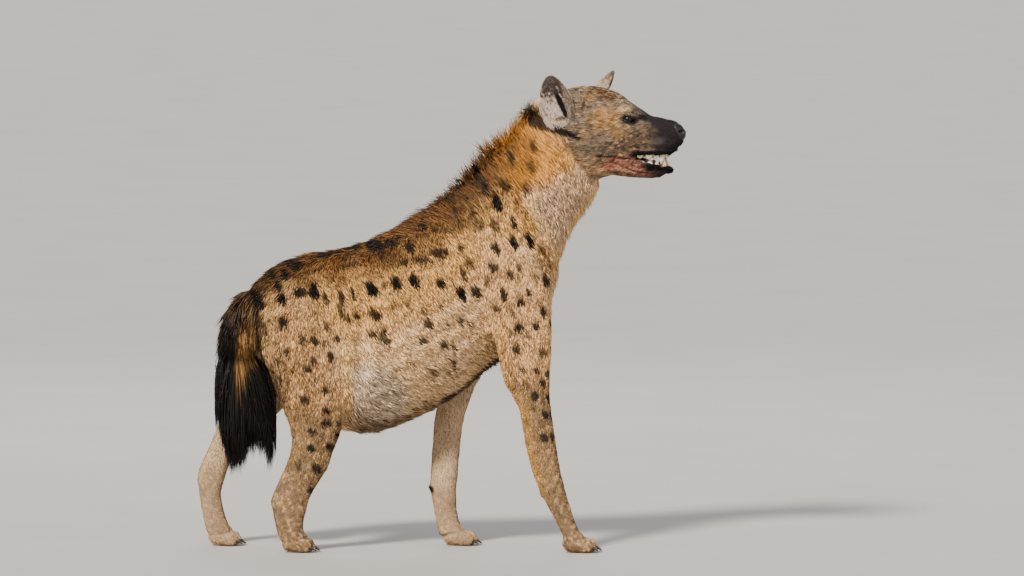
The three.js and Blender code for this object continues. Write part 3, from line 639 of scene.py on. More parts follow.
# %% The spots
SPOTS = [                                      # x, z, half-width, half-height, darkness
    # back
    (-147, 717, 22, 14, 1.0), (-112, 720, 14, 11, 0.9), (-67, 709, 11, 13, 0.8),
    (-1, 698, 23, 11, 0.85), (-40, 680, 23, 10, 0.75), (-78, 676, 11, 9, 0.5),
    (-204, 713, 27, 8, 0.8), (-248, 697, 19, 8, 0.7), (-277, 690, 18, 8, 0.7),
    (-340, 663, 15, 9, 0.9), (-355, 672, 21, 8, 0.6), (-367, 644, 12, 10, 0.8),
    (52, 707, 8, 12, 0.55), (74, 673, 12, 13, 0.5),
    # rump
    (-382, 617, 11, 12, 0.9), (-372, 590, 13, 15, 1.0), (-422, 575, 11, 15, 0.95),
    (-328, 606, 17, 12, 0.95), (-293, 608, 12, 18, 1.0), (-263, 588, 8, 15, 0.75),
    (-226, 592, 9, 19, 0.8), (-229, 562, 7, 17, 0.7), (-365, 535, 12, 16, 0.9),
    (-451, 537, 11, 14, 0.6), (-418, 523, 13, 27, 0.55),
    # side, upper row and lower row
    (-198, 600, 5, 16, 0.9), (-156, 613, 14, 18, 1.0), (-98, 625, 13, 17, 1.0),
    (-57, 632, 13, 16, 1.0), (8, 625, 11, 15, 0.95), (58, 648, 7, 15, 0.8),
    (56, 602, 11, 16, 1.0), (90, 607, 12, 15, 0.9), (-125, 621, 8, 8, 0.35),
    (-191, 550, 8, 11, 0.75), (-145, 552, 14, 15, 0.9), (-211, 539, 6, 13, 0.65),
    (-152, 508, 11, 9, 0.85), (-124, 504, 12, 21, 0.8), (-68, 575, 6, 10, 0.5),
    (-34, 569, 8, 11, 0.4), (8, 571, 5, 10, 0.5), (-105, 571, 6, 9, 0.4),
    (-20, 532, 10, 11, 0.85), (22, 532, 6, 6, 0.75), (56, 539, 7, 10, 0.85),
    (77, 536, 5, 6, 0.7), (-34, 497, 10, 8, 0.8), (15, 486, 10, 9, 0.85),
    (39, 477, 8, 10, 0.65), (-66, 445, 8, 6, 0.45), (-9, 422, 9, 8, 0.5),
    (38, 437, 7, 15, 0.85), (26, 418, 6, 10, 0.5),
    # thigh and shank
    (-261, 527, 8, 9, 0.6), (-237, 498, 9, 10, 0.85), (-292, 493, 10, 13, 0.85),
    (-320, 497, 10, 11, 0.7), (-271, 485, 5, 8, 0.45), (-357, 466, 9, 11, 0.6),
    (-254, 454, 8, 15, 0.9), (-295, 447, 8, 11, 0.8), (-307, 430, 8, 9, 0.7),
    (-378, 447, 7, 8, 0.6), (-344, 422, 6, 7, 0.45), (-373, 400, 7, 8, 0.5),
    (-267, 378, 8, 11, 0.85), (-315, 356, 11, 8, 0.75), (-266, 331, 9, 8, 0.9),
    (-266, 303, 12, 9, 0.85), (-299, 286, 9, 9, 0.85), (-240, 273, 6, 7, 1.0),
    (-238, 301, 5, 7, 0.5), (-258, 247, 8, 9, 0.95), (-301, 245, 10, 10, 0.95),
    (-288, 196, 11, 12, 0.85), (-301, 144, 9, 8, 0.8), (-331, 200, 7, 11, 0.35),
    # shoulder
    (177, 718, 9, 16, 1.0), (134, 707, 10, 14, 0.9), (128, 666, 11, 12, 0.85),
    (166, 648, 10, 12, 0.8), (189, 662, 6, 12, 0.55), (248, 632, 7, 13, 0.9),
    (113, 636, 9, 11, 0.5), (224, 642, 8, 11, 0.4), (150, 603, 7, 17, 0.9),
    (211, 607, 6, 11, 0.9), (190, 585, 9, 11, 0.9), (242, 558, 6, 15, 0.9),
    (136, 567, 9, 9, 0.65), (173, 558, 5, 9, 0.6), (187, 525, 10, 11, 0.9),
    (225, 528, 9, 9, 0.9), (261, 531, 4, 12, 0.8), (167, 515, 9, 8, 0.45),
    (179, 475, 8, 12, 0.65), (241, 464, 9, 10, 0.7), (210, 500, 7, 7, 0.3),
    # foreleg
    (199, 425, 5, 6, 0.75), (228, 424, 6, 6, 0.85), (251, 416, 4, 9, 0.8),
    (241, 395, 7, 10, 0.85), (222, 368, 10, 12, 0.75), (254, 361, 4, 12, 0.9),
    (247, 324, 7, 11, 0.85), (262, 320, 4, 10, 0.8), (244, 270, 10, 12, 0.8),
    (263, 268, 4, 10, 0.9), (206, 398, 5, 8, 0.3),
    # neck
    (214, 728, 9, 19, 1.0), (177, 765, 6, 18, 0.95), (134, 759, 11, 15, 0.55),
    (136, 815, 12, 22, 1.0), (95, 760, 12, 14, 0.35), (240, 700, 5, 12, 0.45),
    (91, 878, 8, 24, 0.9), (112, 850, 8, 20, 0.8), (175, 914, 7, 20, 0.8),
    (157, 857, 14, 12, 0.6), (223, 896, 9, 13, 0.6), (226, 944, 10, 15, 0.7),
    (205, 848, 6, 14, 0.6),
    (184, 812, 5, 13, 0.5), (82, 788, 11, 12, 0.45), (40, 797, 6, 12, 0.45),
    (34, 821, 11, 9, 0.3), (-38, 761, 9, 9, 0.8), (-8, 748, 9, 9, 0.5), (16, 749, 8, 8, 0.4),
    # crease between thigh and tail, and the tail's dark streaks
    (-434, 585, 9, 22, 0.85), (-429, 540, 9, 26, 0.75), (-424, 495, 8, 26, 0.75),
    (-416, 452, 8, 24, 0.6), (-404, 405, 7, 24, 0.45), (-470, 560, 7, 24, 0.5),
    (-492, 530, 9, 30, 0.7), (-450, 600, 8, 16, 0.5), (-398, 640, 8, 12, 0.5),
]
SPOT_LEAN = 0.22                               # the tops lean back, as the hair does
SPOT_GROWTH = 1.14                             # hairs that carry the dark past its edge


def by_number(cells, seed):
    """A repeatable random value from -1 to 1 for each whole-number cell."""
    mixed = (cells[:, 0] * 73856093) ^ (cells[:, 1] * 19349663) ^ (cells[:, 2] * 83492791)
    mixed = (mixed ^ (seed * 2654435761)) & 0xFFFFFFFF
    mixed = (mixed ^ (mixed >> 15)) * 2246822519 & 0xFFFFFFFF
    mixed = (mixed ^ (mixed >> 13)) * 3266489917 & 0xFFFFFFFF
    return (mixed ^ (mixed >> 16)) / 2 ** 31 - 1


def wavy(places, grain, seed):
    """Soft random values from -1 to 1 that change over this many millimetres."""
    cell = places / grain
    low = np.floor(cell).astype(np.int64)
    part = cell - low
    part = part * part * (3 - 2 * part)
    total = 0
    for corner in np.ndindex(2, 2, 2):
        weight = np.prod(np.where(np.array(corner), part, 1 - part), axis=1)
        total = total + weight * by_number(low + np.array(corner), seed)
    return total


def spots_at(where):
    """How dark the spots are at each place, 0 to 1, in millimetres of the drawing."""
    ragged = 0.24 * wavy(where, 7, 3) + 0.12 * wavy(where, 3, 4)
    right = where[:, 1] < 0
    dark = np.zeros(len(where))
    for i, (x, z, wide, high, strength) in enumerate(SPOTS):
        moved = 12 * np.sin([i * 2.4, i * 3.7])
        for side, dx, dz in ((right, 0, 0), (~right, moved[0], moved[1])):
            across = where[:, 0] - x - dx
            along = where[:, 2] - z - dz
            across = across + SPOT_LEAN * along
            away = np.hypot(across / wide, along / high) / SPOT_GROWTH + ragged
            dark = np.maximum(dark, side * strength ** 0.42 * (1 - blend(0.68, 1.16, away)))
    return dark


print("spots:", len(SPOTS))

# %% The ground colours
def linear(code):
    """An sRGB colour such as #a8753c as three linear values."""
    values = np.array([int(code[i:i + 2], 16) for i in (1, 3, 5)]) / 255
    return np.where(values <= 0.04045, values / 12.92, ((values + 0.055) / 1.055) ** 2.4)


PAINT = {name: linear(code) for name, code in {
    "back": "#603e1b", "side": "#cf9e60", "low_side": "#f7cc96", "belly": "#ccb092",
    "belly_edge": "#5c4223", "thigh": "#be915f", "fold": "#dfb373", "rump": "#4b3217",
    "arm": "#eab77f", "forearm": "#93724d", "gold": "#b98745", "inner": "#cbaa86",
    "paw": "#8c6e4e", "neck": "#9d6826", "neck_front": "#cb9045", "cream": "#f8cb90",
    "nape": "#7c4d18", "throat": "#dab58f", "tail": "#3c2919",
    "spot_and_shade": "#0c0805", "crown": "#583a26", "brow": "#cfab78", "cheek": "#b08450",
    "temple": "#837060", "face": "#745d4a", "jaw": "#b3946f", "muzzle": "#2c2526",
    "snout_highlight": "#796d69", "lip": "#0b0909", "stain": "#a4594a", "band": "#0b0705",
    "mouth": "#4a1d1c", "armpit": "#f8cd9f", "agouti_and_shade": "#2d2119",
    "iris": "#0f0805", "iris_streak": "#1c110a", "eye_rim": "#0f0a08",
    "ear_cup": "#cdb8ab", "ear_tip": "#2e241d", "ear_grain": "#2c221d", "ear_canal_shade": "#070505",
    "ear_back": "#bba78c", "ear_edge": "#6d5b4a", "brush": "#110c09", "brush_streak": "#9c7240",
}.items()}
BACK_LINE = ([-450, -330, -165, -35, 56, 127, 206], [600, 689, 724, 789, 842, 905, 985])
BELLY_LINE = ([-360, -235, -100, 52, 134, 212], [340, 280, 296, 379, 447, 482])


def mixed(first, second, share):
    return first + (second - first) * np.clip(share, 0, 1)[:, None]


def height_on_trunk(x, z):
    """0 on the line of the belly and 1 on that of the back."""
    bottom = np.interp(x, *BELLY_LINE)
    return (z - bottom) / (np.interp(x, *BACK_LINE) - bottom)


def trunk_colour(where):
    """Dark along the back, pale low down, grey belly, keel of black hair and painted shade."""
    x, _, z = where.T
    rise = height_on_trunk(x, z) + 0.05 * wavy(where, 40, 21)
    ragged = 0.12 * wavy(where, 24, 22)
    colour = mixed(PAINT["low_side"], PAINT["side"], blend(0.36, 0.6, rise))
    colour = mixed(colour, PAINT["back"], blend(0.66, 0.94, rise))
    colour = mixed(colour, PAINT["rump"], blend(-250, -400, x) * blend(0.45, 0.8, rise))
    grey = np.hypot((x + 150) / 96, (z - 348) / 100) + ragged
    grey = (1 - blend(0.75, 1.15, grey)) * blend(-206, -196, x)
    colour = mixed(colour, PAINT["belly"], grey)
    pale = np.hypot((x - 62) / 46, (z - 462) / 46) + ragged
    colour = mixed(colour, PAINT["armpit"], 0.8 * (1 - blend(0.5, 1.15, pale)))
    above = z - np.interp(x, *BELLY_LINE)      # mm over the line of the belly
    edge = (1 - blend(8, 32, above + 60 * ragged)) * blend(-235, -170, x)
    colour = mixed(colour, PAINT["belly_edge"], 0.8 * edge * (1 - blend(-30, 30, x)))
    # Painted shade under the chest, with its near-black hair: a thin dark keel in front.
    keel_hair_and_shade = (1 - blend(4, 11, above + 20 * ragged)) * blend(-30, 20, x)
    colour = mixed(colour, PAINT["spot_and_shade"], 0.95 * keel_hair_and_shade)
    blotch = blend(0.15, 0.5, wavy(where * [0.6, 1, 1], 15, 25)) * blend(0.76, 0.9, rise)
    return mixed(colour, PAINT["spot_and_shade"], 0.5 * blotch)


def neck_colour(where):
    """Golden on the side, pale on the throat, parted by a line that leans forward."""
    x, y, z = where.T
    ragged = wavy(where, 20, 5)
    front = x - np.interp(z, [680, 821, 1000], [262, 201, 165]) + 7 * ragged
    colour = mixed(PAINT["neck"], PAINT["nape"], blend(-20, -90, front))
    paler = blend(6, 60, front - 0.25 * np.maximum(z - 880, 0))
    colour = mixed(colour, PAINT["neck_front"], paler * blend(790, 860, z))
    below_jaw = 1 - blend(800, 866, z - 0.5 * (x - 206) + 12 * ragged)
    colour = mixed(colour, PAINT["throat"], blend(-8, 14, front) * below_jaw)
    edge = (1 - blend(5, 20, np.abs(front - 12))) * (1 - blend(810, 860, z))
    rim = (1 - blend(10, 36, np.abs(y))) * blend(40, 70, front)
    streak = blend(0.1, 0.5, wavy(where * [1, 1, 0.45], 13, 6)) * (1 - blend(0, 40, front))
    colour = mixed(colour, PAINT["agouti_and_shade"], 0.4 * streak)
    return mixed(colour, PAINT["cream"], np.maximum(0.9 * edge, rim))


def leg_colour(where, out, inward, outer, golden):
    """Sandy outside, grey inside and golden behind, by the way the surface faces."""
    colour = mixed(PAINT[outer], PAINT["gold"], golden * blend(0.1, 0.8, -out[:, 0]))
    colour = mixed(colour, PAINT["agouti_and_shade"], 0.35 * blend(0.0, 0.7, wavy(where, 11, 35)))
    colour = mixed(colour, PAINT["agouti_and_shade"], 0.4 * blend(0.0, 0.6, wavy(where, 4, 36)))
    colour = mixed(colour, PAINT["cream"], 0.5 * blend(0.1, 0.7, wavy(where, 5, 37)))
    return mixed(colour, PAINT["inner"], inward)


BAND = [                                       # black band behind the ear: x, z, half-width
    (196, 1036, 17), (220, 1010, 19), (244, 994, 15), (284, 986, 9), (322, 973, 4),
]


def band_distance(places):
    """Distance to the band as a share of its half-width there."""
    nearest = np.full(len(places), 9.0)
    for start, end in zip(BAND[:-1], BAND[1:]):
        start, end = np.array(start, float), np.array(end, float)
        way = end[:2] - start[:2]
        share = np.clip((places - start[:2]) @ way / (way @ way), 0, 1)[:, None]
        gap = np.linalg.norm(places - start[:2] - share * way, axis=1)
        nearest = np.minimum(nearest, gap / (start[2] + share[:, 0] * (end[2] - start[2])))
    return nearest


def head_colour(head):
    """Patches of paint from the nape to the muzzle, then the black lips."""
    x, y, z = head.T
    ragged = wavy(head, 16, 9)
    colour = np.tile(PAINT["temple"], (len(head), 1))

    def patch(name, place, radii, strength=1.0, core=0.35):
        nonlocal colour
        gap = (np.stack([x, np.abs(y), z], 1) - np.array(place)) / np.array(radii)
        away = np.linalg.norm(gap, axis=1) + 0.16 * ragged
        colour = mixed(colour, PAINT[name], strength * (1 - blend(core, 1.1, away)))

    patch("face", (455, 30, 972), (84, 60, 56), 0.9)
    patch("jaw", (375, 40, 910), (58, 60, 48))
    patch("cheek", (396, 55, 1014), (50, 44, 44), 0.95)
    patch("cheek", (436, 50, 984), (30, 40, 16), 0.6)
    patch("cheek", (348, 50, 980), (20, 40, 34), 0.9)
    patch("agouti_and_shade", (384, 50, 955), (50, 40, 26), 0.6)
    patch("agouti_and_shade", (343, 50, 950), (13, 40, 28), 0.6)
    # Painted shadow: a dark line along the underside of the lower jaw.
    patch("agouti_and_shade", (420, 40, 872), (70, 40, 12), 0.8)
    patch("crown", (392, 0, 1086), (84, 60, 30), 1.0)
    patch("crown", (388, 30, 1064), (40, 24, 20), 0.85)
    patch("cheek", (352, 34, 1068), (20, 24, 12), 0.8)
    patch("brow", (432, 40, 1041), (34, 18, 9), 1.0)
    patch("face", (480, 14, 1022), (40, 22, 26), 0.8)
    patch("agouti_and_shade", (430, 0, 1056), (40, 30, 24), 0.6)
    patch("stain", (408, 40, 913), (82, 30, 32), 0.85)
    patch("stain", (486, 30, 896), (60, 30, 18), 0.7)
    patch("cream", (376, 50, 896), (26, 40, 13), 0.6)
    freckle = blend(0.0, 0.45, wavy(head, 3.6, 61) + 0.6 * wavy(head, 9, 62))
    colour = mixed(colour, PAINT["agouti_and_shade"], 0.68 * freckle)
    light = blend(0.15, 0.6, wavy(head, 4, 63)) * (1 - blend(450, 500, x))
    colour = mixed(colour, PAINT["cream"], 0.42 * light)
    dark = blend(486, 524, x + 0.8 * np.maximum(z - 990, 0) + 8 * ragged)
    colour = mixed(colour, PAINT["muzzle"], dark * (z > 925))
    colour = mixed(colour, PAINT["muzzle"], blend(492, 530, x) * (z < 925))
    # Painted highlight: a paler grey sheen on the side of the black muzzle.
    patch("snout_highlight", (521, 28, 966), (21, 16, 14), 0.34)
    patch("lip", (450, 39, 1016), (29, 22, 15), 1.0, 0.68)
    patch("lip", (482, 27, 1021), (20, 14, 9), 0.9, 0.5)
    lower_band = blend(474, 500, x) * (1 - blend(7, 15, np.abs(z - 903)))
    upper_band = blend(440, 470, x) * (1 - blend(5, 12, np.abs(z - 934)))
    crease = (1 - blend(1.5, 4, np.abs(z - 929 + 0.1 * (x - 407)))) * blend(366, 380, x)
    crease = 0.8 * crease * (1 - blend(452, 458, x))
    return mixed(colour, PAINT["lip"], np.maximum(np.maximum(lower_band, upper_band), crease))


def hide_colour(places, parts, out):
    """Colour of the hide at each place, from the regions' shares and the way it faces."""
    where = places / MM - FRAME_SHIFT
    x, y, z = where.T
    part = dict(zip(REGIONS, parts.T))
    inward = blend(0.0, 0.6, -out[:, 1] * np.sign(y))
    by_part = {
        "trunk": trunk_colour(where),
        "neck": neck_colour(where),
        "head": head_colour(straight(places)),
        "tail": np.tile(PAINT["tail"], (len(where), 1)),
        "arm": leg_colour(where, out, inward, "arm", 0.6),
        "forearm": leg_colour(where, out, inward, "forearm", 0.9),
        "thigh": leg_colour(where, out, inward, "thigh", 0.0),
        "shank": leg_colour(where, out, inward, "forearm", 0.1),
        "paw": leg_colour(where, out, 0.4 * inward, "paw", 0.0),
    }
    colour = sum(part[name][:, None] * shade for name, shade in by_part.items())
    # The skin fold in front of the thigh.
    fold = 1 - blend(7, 20, np.abs(x + 212 - 0.06 * (z - 400)))
    fold *= blend(300, 340, z) * (1 - blend(470, 520, z)) * (y < -60)
    colour = mixed(colour, PAINT["fold"], 0.7 * fold)
    # Dark hair down the back of the thigh, and shade in the hollow between the forelegs.
    fringe = blend(0.2, 0.8, -out[:, 0]) * (1 - blend(38, 60, np.abs(z - 388)))
    colour = mixed(colour, PAINT["agouti_and_shade"], 0.8 * fringe * (x < -350))
    hollow = np.hypot((x - 92) / 50, (z - 436) / 44)
    inside = blend(-30, -10, y) * (1 - blend(36, 56, y))
    colour = mixed(colour, PAINT["lip"], 0.6 * (1 - blend(0.5, 1.1, hollow)) * inside)
    # Painted shade in the grooves between the toes, and a bare pad behind the left wrist.
    for paw_x, paw_y, length, width in PAWS.values():
        ahead = blend(0.16, 0.3, (x - paw_x) / length)
        step = (y - paw_y) / toe_step(width)
        toe_gap_shade = (1 - blend(0.08, 0.2, np.abs(step - np.round(step)))) * (np.abs(step) < 1.3)
        toe_gap_shade = toe_gap_shade * ahead * (np.abs(x - paw_x) < length) * (z < 40)
        colour = mixed(colour, PAINT["agouti_and_shade"], 0.8 * toe_gap_shade)
    pad = np.hypot((x + 24) / 11, (z - 130) / 14)
    colour = mixed(colour, PAINT["lip"], (1 - blend(0.6, 1.1, pad)) * (y > 0))
    # Soft mottling over all of it, then the spots, which fade inside the legs.
    tone = 1 + 0.10 * wavy(where, 55, 12) + 0.12 * wavy(where, 13, 13)
    colour = colour * tone[:, None]
    legs = part["arm"] + part["forearm"] + part["thigh"] + part["shank"]
    shown = (1 - part["head"]) * (1 - 0.85 * inward * legs)
    colour = mixed(colour, PAINT["spot_and_shade"], spots_at(where) * shown)
    gap = band_distance(where[:, [0, 2]]) + 0.2 * wavy(where, 9, 8)
    return mixed(colour, PAINT["band"], 0.95 * (1 - blend(0.75, 1.2, gap)))


print("paints:", len(PAINT))

# %% [markdown]
# A mesh can keep a colour with each of its points, as a colour attribute. No fur sends
# back all the light, so a colour past nine tenths is dimmed, and keeps its hue.

# %% Colours that stay with the points
BRIGHTEST_HAIR = 0.9


def colour_attribute(made, name, colours):
    """Stores a colour for each point, dimmed where it is brighter than hair can be."""
    values = np.ones((len(colours), 4), np.float32)
    brightest = colours.max(axis=1, keepdims=True)
    values[:, :3] = np.maximum(colours, 0) / np.maximum(brightest / BRIGHTEST_HAIR, 1)
    layer = made.data.color_attributes.new(name, "FLOAT_COLOR", "POINT")
    layer.data.foreach_set("color", values.ravel())


print("brightest hair:", BRIGHTEST_HAIR)

# %% [markdown]
# ## Finishes
#
# One small function adds a shader node with its settings and links, and every material
# is written with it. Grain is always given as its real size, so a helper turns
# millimetres into the scale that Blender's textures use.

# %% Shader helpers and the hide
def add(tree, kind, inputs=None, **settings):
    """Adds a shader node; an input is a value, or the output socket that feeds it."""
    made = tree.nodes.new("ShaderNode" + kind)
    for name, value in settings.items():
        setattr(made, name, value)
    for name, value in (inputs or {}).items():
        if isinstance(value, bpy.types.NodeSocket):
            tree.links.new(value, made.inputs[name])
        else:
            made.inputs[name].default_value = value
    return made


def new_finish(name, **sockets):
    made = bpy.data.materials.new(name)
    made.use_nodes = True
    surface = made.node_tree.nodes["Principled BSDF"]
    for socket, value in sockets.items():
        surface.inputs[socket.replace("_", " ")].default_value = value
    return made, made.node_tree, surface


def per(millimetres):
    """Texture scale whose grain has this real size."""
    return 1 / (millimetres * MM)


def mottled(tree, surface, colour, grain, dark, light, detail=3.0):
    """Gives a surface this colour, made darker and lighter in grains of this size."""
    place = add(tree, "TexCoord").outputs["Object"]
    noise = add(tree, "TexNoise", {"Vector": place, "Scale": per(grain), "Detail": detail})
    level = add(tree, "MapRange", {"Value": noise.outputs["Fac"], "From Min": 0.3,
                                   "From Max": 0.7, "To Min": dark, "To Max": light})
    shaded = add(tree, "VectorMath", {0: colour, 1: level.outputs["Result"]},
                 operation="MULTIPLY")
    tree.links.new(shaded.outputs["Vector"], surface.inputs["Base Color"])
    return noise.outputs["Fac"]


def grained_finish(name, paint, grain, dark, light, bump=None, detail=3.0, **sockets):
    """A finish with a mottled colour: a code such as #a8753c, or a colour attribute.
    bump is its strength and its height in mm, and follows the grains of the colour."""
    made, tree, surface = new_finish(name, **sockets)
    if paint.startswith("#"):
        colour = linear(paint)
    else:
        colour = add(tree, "VertexColor", layer_name=paint).outputs["Color"]
    height = mottled(tree, surface, colour, grain, dark, light, detail)
    if bump:
        raised = add(tree, "Bump", {"Height": height, "Strength": bump[0],
                                    "Distance": bump[1] * MM})
        tree.links.new(raised.outputs["Normal"], surface.inputs["Normal"])
    return made


def finished(made, material):
    """Gives a piece its material and says which CAD body and finish it belongs to."""
    made.data.materials.clear()
    made.data.materials.append(material)
    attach(made, "root")
    return made


# Hide: a matt skin of very short hairs, which the eye reads as fine dark and light grain.
hide = grained_finish("hide", "hide", 1.6, 0.78, 1.18, bump=(0.5, 0.6),
                      Roughness=0.78, Specular_IOR_Level=0.25)
finished(skin, hide)
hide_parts(*[node for node in FLESH if not node.startswith("eye")])
print("finishes: hide")

# %% [markdown]
# ## Eyes
#
# A hyena's eye is a dark wet ball of 25 mm, set in black skin. The iris is painted by
# angle from the middle of the gaze, and a smooth surface gives the wet glint. The skin is
# sunk inside the almond of the lids, so that the ball shows there and nowhere else.

# %% The eye balls and the lids
EYE_PLACE = np.array([452.0, 39.0, 1017.0])
EYE_GAZE = unit(np.array([0.42, 0.9, 0.08]))
EYE_RADIUS = 12.7
LID_LENGTH = 14.0                              # half the almond's length and height
LID_HEIGHT = 7.4
LID_REACH = 24                                 # skin this near to the eye may be moved
LID_GAP = 2.0                                  # how far the lids stand off the ball
SUNK_RADIUS = 9.5                              # of the skin behind the opening
PUPIL_EDGE, IRIS_EDGE = (0.34, 0.4), (0.78, 0.86)  # angles from the gaze, in radians
PUPIL_BLACK = np.array([0.002, 0.002, 0.002])  # linear


def eye_axes(side):
    """Centre of an eye and its gaze, forward and upward axes, on the straight head."""
    flip = np.array([1, side, 1])
    gaze = EYE_GAZE * flip
    forward = np.array([1.0, 0, -0.34])
    forward = unit(forward - gaze * (forward @ gaze))
    upward = np.cross(gaze, forward) * side
    upward = upward * np.sign(upward[2])
    return EYE_PLACE * flip, gaze, forward, upward


def almond(s):
    """Half-height of the lids' opening at s along it, -1 to 1."""
    return LID_HEIGHT * np.sqrt(np.clip(1 - s * s, 0, 1)) * (1 - 0.12 * s)


# Wet eye: as smooth as a film of water, so it mirrors the lamps as small sharp glints.
eye_finish = grained_finish("wet_eye", "iris", 1.2, 0.8, 1.25, Roughness=0.06, IOR=1.34)

points = points_of(skin)
head_points = straight(points)
for side, name in ((-1, "eye_right"), (1, "eye_left")):
    centre, gaze, forward, upward = eye_axes(side)
    ball = renamed(unit_ball(48, 32), "ball_of_" + name)
    unit_points = points_of(ball)
    angle = np.arccos(np.clip(unit_points[:, 2], -1, 1))
    radius = EYE_RADIUS + 0.7 * (1 - blend(0.35, 0.8, angle))
    axes = np.stack([forward, upward, gaze])
    set_points(ball, on_head(centre + (unit_points * radius[:, None]) @ axes))
    streak = 0.5 + 0.5 * np.sin(np.arctan2(unit_points[:, 1], unit_points[:, 0]) * 24)
    iris = mixed(PAINT["iris"], PAINT["iris_streak"], streak)
    tone = mixed(PUPIL_BLACK, iris, blend(*PUPIL_EDGE, angle))
    colour_attribute(ball, "iris", mixed(tone, PAINT["eye_rim"], blend(*IRIS_EDGE, angle)))
    shaded_smooth(ball)
    finished(ball, eye_finish)
    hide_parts(name)

    from_eye = head_points - centre
    far = np.linalg.norm(from_eye, axis=1)
    s, t = from_eye @ forward / LID_LENGTH, from_eye @ upward
    open_share = np.abs(t) / np.maximum(almond(s), 0.2)
    facing = (from_eye @ gaze > 0) & (far < LID_REACH)
    inside = facing & (open_share < 1) & (np.abs(s) < 1)
    rim = facing & ~inside & (far < EYE_RADIUS + LID_GAP)
    head_points[inside] = centre + unit(from_eye[inside]) * SUNK_RADIUS
    head_points[rim] = centre + unit(from_eye[rim]) * (EYE_RADIUS + LID_GAP)
points = on_head(head_points)
set_points(skin, points)
print("eyes: 2")

# %% [markdown]
# Each lid has a thick wet edge. A curve is drawn along the almond, just off the ball,
# with a thicker upper lid, and given roundness by a bevel.

# %% Lid edges
def tube(name, places, radii, closed=False, sides=3):
    """A round tapered tube through places, in metres, made by bevelling a curve."""
    curve = bpy.data.curves.new(name, "CURVE")
    curve.dimensions = "3D"
    curve.bevel_depth = 1.0
    curve.bevel_resolution = sides
    curve.use_fill_caps = not closed
    line = curve.splines.new("POLY")
    line.points.add(len(places) - 1)
    for point, place, radius in zip(line.points, places, radii):
        point.co = (*place, 1)
        point.radius = radius
    line.use_cyclic_u = closed
    made = new_object(name, curve)
    only(made)
    bpy.ops.object.convert(target="MESH")
    made = bpy.context.view_layer.objects.active
    edited(made, lambda: bpy.ops.mesh.remove_doubles(threshold=0.02 * MM), faces_out)
    shaded_smooth(made)
    return renamed(made, name)


# Bare black skin: moist and finely wrinkled, so it shines in small broken glints.
lid_skin = grained_finish("bare_black_skin", "#120e0d", 2.0, 0.7, 1.3, bump=(0.6, 0.4),
                          Roughness=0.42, IOR=1.4)
EDGE_LIFT = 1.4                                # of the lid's edge over the ball
UPPER_EDGE, LOWER_EDGE = 1.9, 1.3              # radii of the two lids' edges

edges_made = []
for side in (-1, 1):
    centre, gaze, forward, upward = eye_axes(side)
    turns = np.linspace(0, 2 * math.pi, 56, endpoint=False)
    s, t = np.cos(turns), np.sin(turns)
    height = np.sign(t) * almond(s)
    flat = np.outer(s * LID_LENGTH, forward) + np.outer(height, upward)
    lift = np.sqrt(np.maximum((EYE_RADIUS + EDGE_LIFT) ** 2 - np.sum(flat ** 2, 1), 4))
    places = on_head(centre + flat + np.outer(lift, gaze))
    radii = np.where(t > 0, UPPER_EDGE, LOWER_EDGE) * MM
    edges_made.append(tube("lid_edge", places, radii, closed=True))
lids = joined("lid_edges", edges_made)
finished(lids, lid_skin)
print("lids:", len(lids.data.vertices), "points")

# %% [markdown]
# ## Ears
#
# The ears are round leaves with a deep cup. The solids have that shape in flat facets, so
# a copy is remeshed finely and smoothed. The cup is grey-pink skin under thin pale hair,
# dark towards the tip, with painted shade in a slit that runs down and forwards into the
# ear, where the canal opens. Both ears get an unwrap of their own, because short hair is
# sown on them later.

# %% The ears
# Ear skin: thin and matt, with fine hair on it that breaks the colour up into grains.
ear_finish = grained_finish("ear_skin", "ear", 2.2, 0.72, 1.3, bump=(0.7, 0.7),
                            Roughness=0.7, Specular_IOR_Level=0.3)
EAR_VOXEL = 1.8 * MM
EARS = {                           # base, tip, facing and half-width, on the straight head
    "ear_right": ((296, -52, 985), (274, -86, 1119), (-0.1, -0.95, 0.25), 41),
    "ear_left": ((328, 52, 1000), (394, 82, 1124), (0.72, 0.55, -0.4), 31),
}


def ear_places(places, normals, base, tip, facing, half):
    """Share of the way up an ear and across it, forwards, and how far inside its cup."""
    base, tip, facing = np.array(base), np.array(tip), unit(np.array(facing))
    stem = unit(tip - base)
    facing = unit(facing - stem * (facing @ stem))
    off = straight(places) - base
    up_share = off @ stem / np.linalg.norm(tip - base)
    inner = blend(-0.1, 0.35, (normals @ turn) @ facing)
    return up_share, off @ np.cross(stem, facing) / half, inner


def ear_colour(places, up_share, side_share, inner):
    """Pale cup, dark towards tip and back edge, with painted shade in the canal's slit."""
    ragged = 0.2 * wavy(places / MM, 5, 31)
    slit_at = 0.2 + 0.75 * (0.70 - up_share)
    cup = mixed(PAINT["ear_cup"], PAINT["temple"],
                blend(0.0, 0.3, side_share - slit_at + ragged))
    dark = np.maximum(blend(0.56, 0.74, up_share + ragged) * (1 - blend(0.5, 0.75, side_share)),
                      blend(0.76, 0.95, -side_share + ragged))
    cup = mixed(cup, PAINT["ear_tip"], 0.92 * dark)
    cup = mixed(cup, PAINT["ear_grain"], 0.8 * blend(0.1, 0.45, wavy(places / MM, 2, 33)))
    # Painted shade: the black slit where the canal opens into the cup.
    canal_shade = np.hypot((side_share - slit_at) / 0.21, (up_share - 0.47) / 0.3)
    cup = mixed(cup, PAINT["ear_canal_shade"], 1 - blend(0.65, 1.15, canal_shade + ragged))
    back = mixed(PAINT["ear_back"], PAINT["ear_edge"], blend(0.7, 1.0, up_share + ragged))
    return mixed(back, cup, inner)


